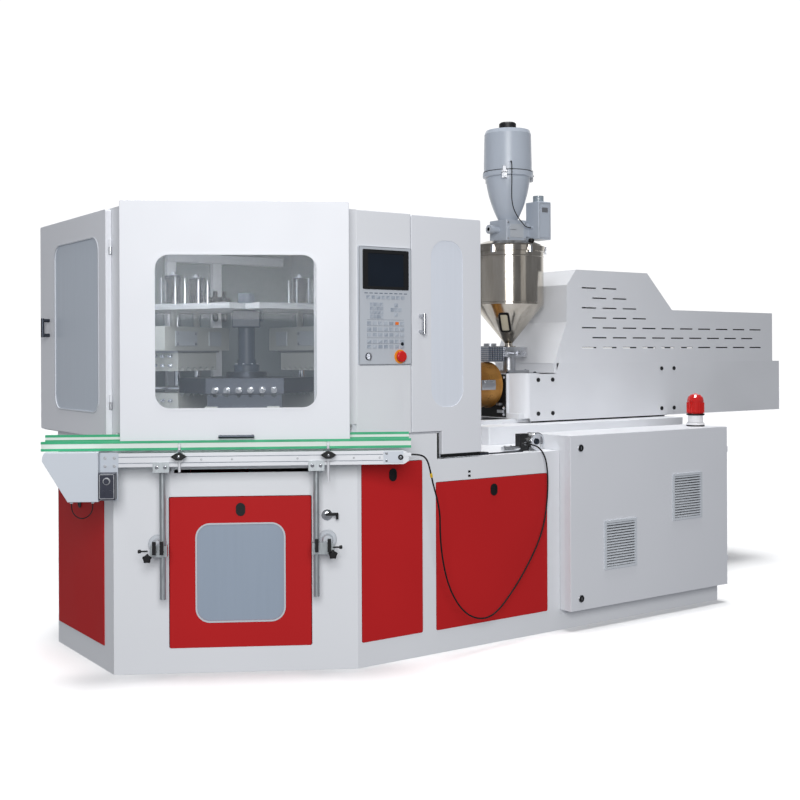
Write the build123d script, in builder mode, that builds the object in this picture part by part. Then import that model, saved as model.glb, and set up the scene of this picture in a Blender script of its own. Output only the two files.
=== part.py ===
"""Three-station rotary injection blow moulding machine, in millimetres.

The origin is on the floor under the axis of the indexing head. X runs along the
machine towards the injection unit, -Y is the operator's side and Z is up.
"""
from build123d import *
from math import atan2, cos, degrees, hypot, pi, radians, sin, tan
import os

os.makedirs("parts", exist_ok=True)

# Plan of the base and the guard
left_reach = 910.0          # head axis to the left end face
strip_reach = 787.0         # head axis to each oblique face of the base
half_width = 956.0          # head axis to each long side
base_right = 2695.0         # head axis to the right end of the base
face_turn = 30.0            # an oblique face against the machine's length, degrees
bench_z = 970.0             # top of the base under the injection unit
block_top = 1100.0          # top of the raised block under the moulds
block_right = 560.0         # right end of the raised block
base_wall = 12.0
base_top = 25.0
base_floor = 15.0

guard_reach = 867.0         # head axis to the guard's oblique operator face
guard_back_reach = 974.0    # head axis to the guard's oblique rear face
guard_right = 849.0
guard_top = 2187.0
guard_wall = 20.0
roof_sheet = 6.0

# Common clearances
run_gap = 0.05              # radial gap of a shaft or screw in its bore
seat_gap = 0.3              # gap of a moving piece that rests by its seat
joint_gap = 3.0             # seam between neighbouring covers

# Access panels of the base
panel_thick = 20.0
panel_proud = 3.0
panel_sheet = 3.0
panel_radius = 8.0
latch_w, latch_h = 44.0, 62.0
latch_drop = 60.0           # latch centre below the panel's top edge

strip_panel_u = (259.0, 925.0)
strip_panel_z = (118.0, 827.0)
strip_glass_u = (388.0, 795.0)
strip_glass_z = (243.0, 696.0)
left_panel_y = (-265.0, 372.0)
left_panel_z = (112.0, 827.0)
narrow_panel_x = (107.0, 466.0)
narrow_panel_z = (118.0, 970.0)
wide_panel_x = (554.0, 1301.0)
wide_panel_z = (115.0, 853.0)
rear_panel_w = 400.0
rear_panel_pitch = 490.0
rear_panel_first = 310.0

# Electrical cabinet, let into the base at the right
cab_x = (1397.0, 2690.0)
cab_z = (110.0, 1052.0)
cab_front = 993.0
cab_back = 723.0
cab_sheet = 3.0
cab_door_thick = 44.0
vent_w, vent_h = 252.0, 268.0
vent_rim = 14.0
vent_slats = 16
vent_centres = ((1777.0, 442.0), (2330.0, 664.0))
beacon_at = (2590.0, -883.0)
beacon_r = 52.0

# Guard doors
leaf_thick = 28.0
leaf_sheet = 3.0
left_leaf_y = (-375.0, 564.0)
left_leaf_z = (1108.0, 2182.0)
left_glass_y = (-279.0, 331.0)
left_glass_z = (1226.0, 2058.0)
side_leaf_x = (406.0, 849.0)
side_leaf_z = (1110.0, 2184.0)
side_step_x = 592.0
side_step_z = 993.0
side_leaf_thick = 25.0
side_glass_x = (527.0, 731.0)
side_glass_z = (1230.0, 2066.0)
side_glass_r = 88.0
cover_x = (80.0, 401.0)
strip_leaf_u = (50.0, 1104.0)
strip_leaf_z = (1096.0, 2208.0)
strip_leaf_out = (100.0, 130.0)
strip_glass2_u = (211.0, 951.0)
strip_glass2_z = (1252.0, 1958.0)
glass_thick = 4.0
glass_lap = 12.0
pin_r = 4.0
knuckle_r = 7.0
knuckle_len = 34.0

# Operator panel
panel_face_x = (88.0, 399.0)
panel_face_z = (1445.0, 2016.0)
bezel_x = (110.0, 379.0)
bezel_z = (1809.0, 2000.0)
key_pitch_x, key_pitch_z = 32.5, 28.3

# Moulding stations
parting_z = 1290.0          # mould parting plane, closed
head_lift = 25.0            # the head rises this far before it turns
clamp_travel = 120.0
face_reach = 300.0          # head axis to each face that carries core rods
rod_length = 190.0
rod_r = 10.0
rod_cap_r = 17.0
rod_count = 6
rod_pitch = 60.0
bed_thick = 60.0
column_r = 20.0
column_at = ((500.0, 265.0), (640.0, 265.0))
platen_thick = 130.0
mould_height = 110.0
head_plate_z = (1737.0, 1767.0)
shaft_r = 45.0

# Conveyor, in the frame of the oblique face: along, up, out
conv_u = (44.0, 1300.0)
conv_out = (48.0, 152.0)
conv_z = (986.0, 1050.0)
roller_r = 26.0
roller_z = 1015.0
belt_thick = 3.0
drive_u = -160.0
idler_u = 1345.0
near_rail_z = (1062.0, 1106.0)
far_rail_z = (1086.0, 1130.0)
rail_u = (-300.0, 1387.0)
rail_thick = 10.0
post_r = 14.0
post_u = (238.0, 947.0)
post_z = (370.0, 962.0)

# Injection unit
nozzle_z = 1303.0
barrel_r = 65.0
screw_r = 27.5
heater_r = 141.0
heater_x = (870.0, 1700.0)
hopper_x = 1868.0
hopper_r = 222.0
hopper_sheet = 2.0
cover_half = 285.0
slide_x = (1336.0, 3000.0)
slide_half = 440.0
slide_z = 1072.0


def plan_points(left, front, back, side, right):
    """Corners of a plan with a left end, two oblique faces and two long sides."""
    lean, rise = sin(radians(face_turn)), cos(radians(face_turn))
    return [
        (-left, -(front - lean * left) / rise),
        ((rise * side - front) / lean, -side),
        (right, -side),
        (right, side),
        ((rise * side - back) / lean, side),
        (-left, (back - lean * left) / rise),
    ]


corner_y = (strip_reach - sin(radians(face_turn)) * left_reach) / cos(radians(face_turn))
along_face = Vector(cos(radians(face_turn)), -sin(radians(face_turn)), 0)
out_face = Vector(-sin(radians(face_turn)), -cos(radians(face_turn)), 0)
strip_plane = Plane(origin=(-left_reach, -corner_y, 0), x_dir=along_face, z_dir=out_face)
side_plane = Plane(origin=(0, -half_width, 0), x_dir=(1, 0, 0), z_dir=(0, -1, 0))
left_plane = Plane(origin=(-left_reach, 0, 0), x_dir=(0, -1, 0), z_dir=(-1, 0, 0))


def station_plane(turn):
    """Frame of a station: out from the head axis, across it, and up."""
    return Plane(origin=(0, 0, 0), x_dir=(cos(radians(turn)), sin(radians(turn)), 0), z_dir=(0, 0, 1))


def span(bounds):
    """Middle and length of a pair of bounds."""
    return (bounds[0] + bounds[1]) / 2, bounds[1] - bounds[0]


def block(xs, ys, zs, mode=Mode.ADD):
    """A box between two bounds along each axis of the part in hand."""
    (xm, xl), (ym, yl), (zm, zl) = span(xs), span(ys), span(zs)
    with Locations((xm, ym, zm)):
        Box(xl, yl, zl, mode=mode)


def prism(points, plane, height, mode=Mode.ADD):
    """A straight prism on a closed outline."""
    with BuildSketch(plane) as outline:
        with BuildLine():
            Polyline(*points, close=True)
        make_face()
    extrude(outline.sketch, amount=height, mode=mode)


def plate(xs, ys, plane, thick, radius=0.0, mode=Mode.ADD):
    """A rectangular plate with round corners, drawn on a plane."""
    (xm, xl), (ym, yl) = span(xs), span(ys)
    with BuildSketch(plane) as outline:
        with Locations((xm, ym)):
            if radius > 0:
                RectangleRounded(xl, yl, radius)
            else:
                Rectangle(xl, yl)
    extrude(outline.sketch, amount=thick, mode=mode)


def obround(x, y, length, height, plane, thick, mode=Mode.ADD):
    """A plate with two half-round ends, drawn on a plane."""
    with BuildSketch(plane) as outline:
        with Locations((x, y)):
            if length > height:
                SlotOverall(length, height)
            else:
                SlotOverall(height, length, rotation=90)
    extrude(outline.sketch, amount=thick, mode=mode)


def grown(bounds, by):
    """A pair of bounds moved apart by the same amount on each side."""
    return bounds[0] - by, bounds[1] + by


def bar_x(xs, y, z, radius, mode=Mode.ADD):
    """A round bar along the first axis of the part in hand."""
    with Locations(Location((span(xs)[0], y, z), (0, 90, 0))):
        Cylinder(radius, span(xs)[1], mode=mode)


def bar_y(x, ys, z, radius, mode=Mode.ADD):
    """A round bar along the second axis of the part in hand."""
    with Locations(Location((x, span(ys)[0], z), (90, 0, 0))):
        Cylinder(radius, span(ys)[1], mode=mode)


def bar_z(x, y, zs, radius, mode=Mode.ADD):
    """A round bar along the third axis of the part in hand."""
    with Locations((x, y, span(zs)[0])):
        Cylinder(radius, span(zs)[1], mode=mode)


def turned(points, plane, axis, mode=Mode.ADD):
    """A body of revolution from its half outline."""
    with BuildSketch(plane) as outline:
        with BuildLine():
            Polyline(*points, close=True)
        make_face()
    revolve(outline.sketch, axis=axis, mode=mode)


def save(builder, name):
    builder.part.label = name
    export_step(builder.part, "parts/" + name + ".step")


# Base

base_outline = (left_reach, strip_reach, strip_reach, half_width)
base_inner = tuple(size - base_wall for size in base_outline)
cab_pocket = (cab_x[0] - joint_gap, base_right)
rear_panel_x = [rear_panel_first + rear_panel_pitch * k for k in range(5)]
panel_seats = (
    (strip_plane, strip_panel_u, strip_panel_z),
    (left_plane, (-left_panel_y[1], -left_panel_y[0]), left_panel_z),
    (side_plane, narrow_panel_x, narrow_panel_z),
    (side_plane, wide_panel_x, wide_panel_z),
)
rear_plane = Plane(origin=(0, half_width, 0), x_dir=(-1, 0, 0), z_dir=(0, 1, 0))
slot_u, slot_z = (282.0, 916.0), (941.0, 958.0)

with BuildPart() as base_cabinet:
    prism(plan_points(*base_outline, base_right), Plane.XY, bench_z)
    prism(plan_points(*base_outline, block_right), Plane.XY.offset(bench_z), block_top - bench_z)
    prism(plan_points(*base_inner, base_right - base_wall), Plane.XY.offset(base_floor),
          bench_z - base_top - base_floor, Mode.SUBTRACT)
    prism(plan_points(*base_inner, block_right - base_wall), Plane.XY.offset(bench_z - base_top),
          block_top - bench_z, Mode.SUBTRACT)
    block((block_right - base_wall, block_right), (-half_width + 26.0, half_width - 26.0),
          (base_floor, bench_z - base_top))
    block(cab_pocket, (-half_width, -cab_back), (cab_z[0], bench_z), Mode.SUBTRACT)
    block(cab_pocket, (-half_width, -half_width + base_wall / 2), (87.0, cab_z[0]), Mode.SUBTRACT)
    for seat_plane, seat_x, seat_z in panel_seats:
        plate(grown(seat_x, joint_gap), (seat_z[0], seat_z[1] + joint_gap), seat_plane.offset(-base_wall),
              base_wall, panel_radius, Mode.SUBTRACT)
    for centre in rear_panel_x:
        plate((-centre - rear_panel_w / 2 - joint_gap, -centre + rear_panel_w / 2 + joint_gap),
              (wide_panel_z[0], wide_panel_z[1] + joint_gap), rear_plane.offset(-base_wall),
              base_wall, panel_radius, Mode.SUBTRACT)
    plate(slot_u, slot_z, strip_plane.offset(-base_wall), base_wall, 0, Mode.SUBTRACT)
save(base_cabinet, "base_cabinet")


def access_panel(plane, xs, zs, with_latch=True):
    """A folded sheet panel that stands in its seat, hollow behind."""
    with BuildPart() as panel:
        plate(xs, zs, plane.offset(panel_proud - panel_thick), panel_thick, panel_radius)
        fillet(panel.edges().group_by(Axis(plane.origin, plane.z_dir))[-1], 2.0)
        plate(grown(xs, -panel_sheet), grown(zs, -panel_sheet), plane.offset(panel_proud - panel_thick),
              panel_thick - panel_sheet, panel_radius - panel_sheet, Mode.SUBTRACT)
        if with_latch:
            obround(span(xs)[0], zs[1] - latch_drop, latch_w - 8, latch_h - 8,
                    plane.offset(panel_proud), -panel_sheet, Mode.SUBTRACT)
    return panel


strip_panel_plain = access_panel(*panel_seats[0])
with BuildPart() as strip_base_door:
    add(strip_panel_plain.part)
    plate(strip_glass_u, strip_glass_z, strip_plane.offset(panel_proud - panel_sheet), panel_sheet,
          60.0, Mode.SUBTRACT)
save(strip_base_door, "strip_base_door")

with BuildPart() as strip_base_window:
    plate(grown(strip_glass_u, glass_lap), grown(strip_glass_z, glass_lap),
          strip_plane.offset(panel_proud - panel_sheet - glass_thick), glass_thick, 60.0 + glass_lap)
save(strip_base_window, "strip_base_window")

front_plain = [access_panel(*seat) for seat in panel_seats[1:]]
rear_plain = [access_panel(rear_plane, (-centre - rear_panel_w / 2, -centre + rear_panel_w / 2),
                           wide_panel_z, False) for centre in rear_panel_x]
with BuildPart() as access_panels:
    for plain in front_plain + rear_plain:
        add(plain.part)
save(access_panels, "access_panels")

with BuildPart() as panel_latches:
    for seat_plane, seat_x, seat_z in panel_seats:
        middle, height = span(seat_x)[0], seat_z[1] - latch_drop
        outer = seat_plane.offset(panel_proud)
        obround(middle, height, latch_w, latch_h, outer, 4.0)
        obround(middle, height, latch_w - 8 - 2 * seat_gap, latch_h - 8 - 2 * seat_gap, outer, -14.0)
        obround(middle, height, latch_w - 18, latch_h - 18, outer.offset(2.0), 2.0, Mode.SUBTRACT)
save(panel_latches, "panel_latches")

# Electrical cabinet

with BuildPart() as electrical_cabinet:
    block(cab_x, (-cab_front, -cab_back), cab_z)
    block(grown(cab_x, -cab_sheet), (-cab_front, -cab_back - cab_sheet), grown(cab_z, -cab_sheet),
          Mode.SUBTRACT)
    board_y = -cab_back - cab_sheet - 12.0
    block(grown(cab_x, -60.0), (board_y - 3.0, board_y), grown(cab_z, -60.0))
    for x in (cab_x[0] + 100, cab_x[1] - 100):
        for z in (cab_z[0] + 100, cab_z[1] - 100):
            block((x - 10, x + 10), (board_y, -cab_back - cab_sheet), (z - 10, z + 10))
    block((1500.0, 1760.0), (board_y - 153.0, board_y - 3.0), (560.0, 950.0))
    for k in range(6):
        block((1850.0 + 62 * k, 1900.0 + 62 * k), (board_y - 93.0, board_y - 3.0), (800.0, 890.0))
    for k in range(4):
        block((1850.0 + 95 * k, 1930.0 + 95 * k), (board_y - 113.0, board_y - 3.0), (590.0, 700.0))
    for z in (740.0, 520.0, 230.0):
        block((1480.0, 2600.0), (board_y - 43.0, board_y - 3.0), (z, z + 30.0))
    block((2300.0, 2560.0), (board_y - 123.0, board_y - 3.0), (560.0, 900.0))
save(electrical_cabinet, "electrical_cabinet")

cab_door_y = (-cab_front - seat_gap - cab_door_thick, -cab_front - seat_gap)
cab_axis = (cab_x[1] + 9.0, cab_door_y[1])


def knuckle(x, y, z_low, z_high, leaf_x, leaf_y, bore=0.0):
    """A hinge knuckle with its leaf, bored for the pin where it turns on one."""
    with Locations((x, y, (z_low + z_high) / 2)):
        Cylinder(knuckle_r, z_high - z_low)
    block(leaf_x, leaf_y, (z_low, z_high))
    if bore:
        with Locations((x, y, (z_low + z_high) / 2)):
            Cylinder(bore, z_high - z_low, mode=Mode.SUBTRACT)


hinge_heights_cab = (250.0, 900.0)
with BuildPart() as cabinet_door:
    block(cab_x, cab_door_y, cab_z)
    fillet(cabinet_door.edges().filter_by(Axis.Z).group_by(Axis.Y)[0], 4.0)
    block(grown(cab_x, -cab_sheet), (cab_door_y[0] + cab_sheet, cab_door_y[1]), grown(cab_z, -cab_sheet),
          Mode.SUBTRACT)
    for z in (172.0, 985.0):
        with Locations(Location((1474.0, cab_door_y[0], z), (90, 0, 0))):
            Cylinder(17.0, 5.0, align=(Align.CENTER, Align.CENTER, Align.MIN))
    for z in hinge_heights_cab:
        knuckle(*cab_axis, z, z + knuckle_len, (cab_x[1], cab_axis[0]),
                (cab_axis[1] - 40, cab_axis[1] - 1), pin_r + run_gap)
    for x, z in vent_centres:
        block((x - vent_w / 2, x + vent_w / 2), (cab_door_y[0] - 6, cab_door_y[0]),
              (z - vent_h / 2, z + vent_h / 2))
        block(grown((x, x), vent_w / 2 - vent_rim), (cab_door_y[0] - 6, cab_door_y[0] + cab_sheet),
              grown((z, z), vent_h / 2 - vent_rim), Mode.SUBTRACT)
        slat_room = vent_h - 2 * vent_rim - 15.0
        for k in range(vent_slats):
            low, out = z - slat_room / 2 - 4.0 + k * slat_room / (vent_slats - 1), cab_door_y[0]
            prism([(out - 5, low), (out, low + 6), (out, low + 8.5), (out - 5, low + 2.5)],
                  Plane.YZ.offset(x - vent_w / 2 + vent_rim), vent_w - 2 * vent_rim)
save(cabinet_door, "cabinet_door")

beacon_z = cab_z[1]
with BuildPart() as beacon:
    turned([(0, 0), (beacon_r, 0), (beacon_r, 18), (beacon_r - 8, 26), (beacon_r - 8, 78), (beacon_r - 2, 84),
            (beacon_r - 2, 158), (beacon_r - 8, 176), (beacon_r - 22, 190), (0, 200)],
           Plane(origin=(*beacon_at, beacon_z), x_dir=(1, 0, 0), z_dir=(0, -1, 0)),
           Axis((*beacon_at, 0), (0, 0, 1)))
save(beacon, "beacon")

# Guard frame

guard_outline = (left_reach, guard_reach, guard_back_reach, half_width)
guard_inner = tuple(size - guard_wall for size in guard_outline)
post_foot = 1165.0
strip_rails_u = (70.0, 82.0), (960.0, 972.0)
strip_rail_out = (80.0, 97.0)
with BuildPart() as enclosure_frame:
    prism(plan_points(*guard_outline, guard_right), Plane.XY.offset(block_top), guard_top - block_top)
    prism(plan_points(*guard_inner, guard_right - guard_wall), Plane.XY.offset(block_top),
          guard_top - block_top - roof_sheet, Mode.SUBTRACT)
    block((guard_right - guard_wall, guard_right), (-half_width + side_leaf_thick, half_width),
          (bench_z, block_top))
    block((block_right + 10, guard_right), (half_width - guard_wall, half_width), (bench_z, block_top))
    # left door opening
    plate((-left_leaf_y[1] + 30, -left_leaf_y[0] - 40), (1150.0, 2145.0), left_plane.offset(-guard_wall),
          guard_wall, 0, Mode.SUBTRACT)
    # opening behind the lifting door, open below for the conveyor
    plate((110.0, 940.0), (block_top, 2060.0), strip_plane.offset(40.0), 60.0, 0, Mode.SUBTRACT)
    plate((-140.0, 1120.0), (block_top, 1136.0), strip_plane.offset(34.0), 80.0, 0, Mode.SUBTRACT)
    # recess and openings on the operator's long side
    block((cover_x[0], guard_right), (-half_width, -half_width + side_leaf_thick), (block_top, guard_top),
          Mode.SUBTRACT)
    block((-200.0, cover_x[0]), (-half_width, -half_width + guard_wall), (block_top, post_foot),
          Mode.SUBTRACT)
    block((110.0, 375.0), (-half_width, -half_width + 60), (1150.0, 2145.0), Mode.SUBTRACT)
    block((430.0, 818.0), (-half_width, -half_width + 60), (1150.0, 2145.0), Mode.SUBTRACT)
    block((cover_x[0], guard_right - guard_wall), (-half_width + side_leaf_thick, -half_width + 45),
          (block_top, 2181.0))
    block((110.0, 375.0), (-half_width, -half_width + 60), (1150.0, 2145.0), Mode.SUBTRACT)
    block((430.0, 818.0), (-half_width, -half_width + 60), (1150.0, 2145.0), Mode.SUBTRACT)
    # passage for the barrel
    block((guard_right - guard_wall, guard_right), (-260.0, 260.0), (1110.0, 1560.0), Mode.SUBTRACT)
    # two upright rails for the lifting door
    for rail in strip_rails_u:
        plate(rail, (1118.0, 2180.0), strip_plane.offset(strip_rail_out[0]), span(strip_rail_out)[1])
save(enclosure_frame, "enclosure_frame")

# Guard doors

left_out = left_plane.offset(2.0)
left_leaf = (-left_leaf_y[1], -left_leaf_y[0])
left_glass = (-left_glass_y[1], -left_glass_y[0])
left_axis = (-left_reach - 10.0, left_leaf_y[0] - 8.0)
left_hinge_z = (1244.0, 1970.0)
side_axis = (guard_right + 8.0, -half_width + side_leaf_thick)
side_hinge_z = (1250.0, 1990.0)


def hinge_half(x, y, z, leaf_x, leaf_y):
    """The fixed half of a hinge: knuckle, leaf and the pin standing in it."""
    block(leaf_x, leaf_y, (z, z + knuckle_len))
    bar_z(x, y, (z, z + knuckle_len), knuckle_r)
    bar_z(x, y, (z, z + 2 * knuckle_len), pin_r)


with BuildPart() as left_door:
    plate(left_leaf, left_leaf_z, left_out, leaf_thick, 12.0)
    fillet(left_door.edges().group_by(Axis.X)[0], 3.0)
    plate(grown(left_leaf, -leaf_sheet), grown(left_leaf_z, -leaf_sheet), left_out, leaf_thick - leaf_sheet,
          9.0, Mode.SUBTRACT)
    plate(left_glass, left_glass_z, left_out, leaf_thick, 70.0, Mode.SUBTRACT)
    for z in left_hinge_z:
        knuckle(*left_axis, z + knuckle_len + seat_gap, z + 2 * knuckle_len,
                grown((left_axis[0], left_axis[0]), 4.0), (left_axis[1], left_leaf_y[0]), pin_r + run_gap)
save(left_door, "left_door")

with BuildPart() as left_door_window:
    plate(grown(left_glass, glass_lap), grown(left_glass_z, glass_lap),
          left_out.offset(leaf_thick - leaf_sheet - glass_thick), glass_thick, 70.0 + glass_lap)
save(left_door_window, "left_door_window")


def pull_handle(plane, start, end, stand, radius):
    """A round pull bar on two feet; start and end are its ends on the plane."""
    along = (Vector(*end) - Vector(*start)).normalized()
    length = (Vector(*end) - Vector(*start)).length
    world = plane.x_dir * along.X + plane.y_dir * along.Y
    with BuildPart() as handle:
        with BuildSketch(Plane(origin=plane.from_local_coords((start[0], start[1], stand)), z_dir=world)):
            Circle(radius)
        extrude(amount=length)
        for step in (radius + 2, length - radius - 2):
            foot = plane.from_local_coords((start[0] + along.X * step, start[1] + along.Y * step, 0))
            with BuildSketch(Plane(origin=foot, z_dir=plane.z_dir)):
                Circle(radius)
            extrude(amount=stand)
    return handle


left_door_handle = pull_handle(left_out.offset(leaf_thick), (-421.0, 1592.0), (-421.0, 1691.0), 36.0, 9.0)
save(left_door_handle, "left_door_handle")

strip_out = strip_plane.offset(strip_leaf_out[0])
with BuildPart(strip_plane) as strip_door:
    plate(strip_leaf_u, strip_leaf_z, strip_out, span(strip_leaf_out)[1], 10.0)
    fillet(strip_door.edges().group_by(Axis(strip_plane.origin, strip_plane.z_dir))[-1], 3.0)
    plate(grown(strip_leaf_u, -leaf_sheet), grown(strip_leaf_z, -leaf_sheet), strip_out,
          span(strip_leaf_out)[1] - leaf_sheet, 7.0, Mode.SUBTRACT)
    plate(strip_glass2_u, strip_glass2_z, strip_out, span(strip_leaf_out)[1], 65.0, Mode.SUBTRACT)
    for rail in strip_rails_u:
        for low in (1125.0, 1185.0):
            for edge, side in ((rail[0], -1), (rail[1], 1)):
                cheek = sorted((edge + side * seat_gap, edge + side * 7.0))
                block(cheek, (low, low + 40.0), (strip_rail_out[0] + 4, strip_leaf_out[1] - leaf_sheet))
save(strip_door, "strip_door")

with BuildPart() as strip_door_window:
    plate(grown(strip_glass2_u, glass_lap), grown(strip_glass2_z, glass_lap),
          strip_plane.offset(strip_leaf_out[1] - leaf_sheet - glass_thick), glass_thick, 65.0 + glass_lap)
save(strip_door_window, "strip_door_window")

strip_door_handle = pull_handle(strip_plane.offset(strip_leaf_out[1]), (499.0, 1122.0), (662.0, 1122.0),
                                26.0, 7.0)
save(strip_door_handle, "strip_door_handle")

step_in = leaf_sheet
side_outline = [(side_leaf_x[0], side_leaf_z[0]), (side_step_x, side_leaf_z[0]), (side_step_x, side_step_z),
                (side_leaf_x[1], side_step_z), (side_leaf_x[1], side_leaf_z[1]),
                (side_leaf_x[0], side_leaf_z[1])]
side_inner = [(side_leaf_x[0] + step_in, side_leaf_z[0] + step_in),
              (side_step_x + step_in, side_leaf_z[0] + step_in), (side_step_x + step_in, side_step_z + step_in),
              (side_leaf_x[1] - step_in, side_step_z + step_in),
              (side_leaf_x[1] - step_in, side_leaf_z[1] - step_in),
              (side_leaf_x[0] + step_in, side_leaf_z[1] - step_in)]
side_in = side_plane.offset(-side_leaf_thick)
with BuildPart() as right_door:
    prism(side_outline, side_in, side_leaf_thick)
    fillet(right_door.edges().filter_by(Axis.Y).group_by(Axis.Z)[-1], 10.0)
    fillet(right_door.edges().group_by(Axis.Y)[0], 3.0)
    prism(side_inner, side_in, side_leaf_thick - leaf_sheet, Mode.SUBTRACT)
    plate(side_glass_x, side_glass_z, side_in, side_leaf_thick, side_glass_r, Mode.SUBTRACT)
    for z in side_hinge_z:
        knuckle(*side_axis, z + knuckle_len + seat_gap, z + 2 * knuckle_len, (guard_right, side_axis[0]),
                (side_axis[1] - 9.0, side_axis[1] - 1.0), pin_r + run_gap)
save(right_door, "right_door")

with BuildPart() as right_door_window:
    plate(grown(side_glass_x, glass_lap), grown(side_glass_z, glass_lap),
          side_plane.offset(-leaf_sheet - glass_thick), glass_thick, side_glass_r + glass_lap)
save(right_door_window, "right_door_window")

right_door_handle = pull_handle(side_plane, (458.0, 1596.0), (458.0, 1695.0), 36.0, 9.0)
save(right_door_handle, "right_door_handle")

with BuildPart() as door_hinges:
    for z in left_hinge_z:
        hinge_half(*left_axis, z, (left_axis[0], -left_reach), grown((left_axis[1], left_axis[1]), 4.0))
    for z in side_hinge_z:
        hinge_half(*side_axis, z, (guard_right, side_axis[0]), (side_axis[1], side_axis[1] + 8.0))
    for z in hinge_heights_cab:
        hinge_half(*cab_axis, z - knuckle_len, (cab_x[1], cab_axis[0]), (cab_axis[1] + 1.0, cab_axis[1] + 9.0))
save(door_hinges, "door_hinges")

# Operator station

cover_z = (1108.0, guard_top)
panel_thickness = 10.0
estop_at = (328.0, 1485.0)
estop_r = 27.0
estop_ring = 7.0             # the yellow ring shows this far around the head
selector_at = (142.0, 1486.0)
estop_travel = 6.0
with BuildPart() as control_cover:
    block(cover_x, (-half_width, -half_width + side_leaf_thick), cover_z)
    fillet(control_cover.edges().group_by(Axis.Y)[0], 3.0)
    block(grown(cover_x, -leaf_sheet), (-half_width + leaf_sheet, -half_width + side_leaf_thick),
          grown(cover_z, -leaf_sheet), Mode.SUBTRACT)
    for x, z in (estop_at, selector_at):
        bar_y(x, (-half_width, -half_width + leaf_sheet), z, 14.0, Mode.SUBTRACT)
save(control_cover, "control_cover")

panel_front = -half_width - panel_thickness
with BuildPart() as control_panel:
    block(panel_face_x, (panel_front, -half_width), panel_face_z)
    fillet(control_panel.edges().filter_by(Axis.Y), 8.0)
    fillet(control_panel.edges().group_by(Axis.Y)[0], 2.0)
    plate(bezel_x, bezel_z, side_plane.offset(panel_thickness), 5.0, 6.0)
    plate(grown(bezel_x, -28.0), (bezel_z[0] + 14.0, bezel_z[1] - 18.0), side_plane.offset(panel_thickness - 2),
          7.0, 3.0, Mode.SUBTRACT)
    bar_y(estop_at[0], (panel_front - 3.0, panel_front), estop_at[1], estop_r + estop_ring)
    bar_y(estop_at[0], (panel_front - 3.0, -half_width), estop_at[1], 8.0 + run_gap, Mode.SUBTRACT)
    bar_y(selector_at[0], (panel_front, -half_width), selector_at[1], 5.0 + run_gap, Mode.SUBTRACT)
save(control_panel, "control_panel")

with BuildPart() as control_screen:
    plate(grown(bezel_x, -28.0), (bezel_z[0] + 14.0, bezel_z[1] - 18.0), side_plane.offset(panel_thickness - 2),
          3.0, 3.0)
save(control_screen, "control_screen")

key_face = side_plane.offset(panel_thickness)
with BuildPart() as control_keys:
    for row, z in enumerate((1646.0, 1618.0, 1591.0, 1559.0, 1533.0)):
        for column in range(7):
            x = 146.0 + key_pitch_x * column
            plate(grown((x, x), 11.0), grown((z, z), 8.0), key_face, 3.0)
    for column in range(8):
        x = 142.0 + 29.0 * column
        plate(grown((x, x), 10.0), grown((1771.0, 1771.0), 8.0), key_face, 3.0)
    for column in range(4):
        for row in range(4):
            x, z = 160.0 + 20.0 * column, 1677.0 + 20.0 * row
            plate(grown((x, x), 8.0), grown((z, z), 8.0), key_face, 3.0)
    for x, z in ((304.5, 1712.0), (281.5, 1712.0), (327.5, 1712.0), (304.5, 1735.0), (304.5, 1689.0)):
        plate(grown((x, x), 9.0), grown((z, z), 9.0), key_face, 3.0)
save(control_keys, "control_keys")

with BuildPart() as estop_button:
    head_y = panel_front - 3.0 - estop_travel - seat_gap
    bar_y(estop_at[0], (head_y - 14.0, head_y), estop_at[1], estop_r)
    fillet(estop_button.edges().group_by(Axis.Y)[0], 6.0)
    bar_y(estop_at[0], (head_y, -half_width + seat_gap), estop_at[1], 8.0)
    bar_y(estop_at[0], (-half_width + seat_gap, -half_width + 5.0), estop_at[1], 11.0)
save(estop_button, "estop_button")

with BuildPart() as mode_selector:
    bar_y(selector_at[0], (panel_front - seat_gap - 6.0, panel_front - seat_gap), selector_at[1], 15.0)
    block(grown((selector_at[0], selector_at[0]), 4.0), (panel_front - seat_gap - 18.0, panel_front - seat_gap),
          grown((selector_at[1], selector_at[1]), 15.0))
    bar_y(selector_at[0], (panel_front - seat_gap, -half_width + seat_gap), selector_at[1], 5.0)
    bar_y(selector_at[0], (-half_width + seat_gap, -half_width + 5.0), selector_at[1], 9.0)
save(mode_selector, "mode_selector")

# Moulding stations

bed_z = (block_top, block_top + bed_thick)
stations = (0.0, 120.0)
strip_turn = 240.0
head_axis_z = parting_z + head_lift
head_z = (head_axis_z - 20.0, head_axis_z + 60.0)
mould_r = (318.0, 525.0)
mould_half = 185.0
platen_r = (312.0, 690.0)
platen_half = 310.0
upper_rest = parting_z + clamp_travel
platen_z = (upper_rest + mould_height, upper_rest + mould_height + platen_thick)
ram_at = ((400.0, 110.0), (400.0, -110.0))
ram_r = 18.0
column_spots = [(r, side * s) for r, s in column_at for side in (1, -1)]
rod_s = [rod_pitch * (k - (rod_count - 1) / 2) for k in range(rod_count)]
guide_s, guide_z, guide_r = 150.0, 1215.0, 12.5
stroke = 260.0
shaft_bore = shaft_r + run_gap


def turned_by(angle):
    """Locations turned about the head axis."""
    return Locations(Location((0, 0, 0), (0, 0, angle)))


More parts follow.
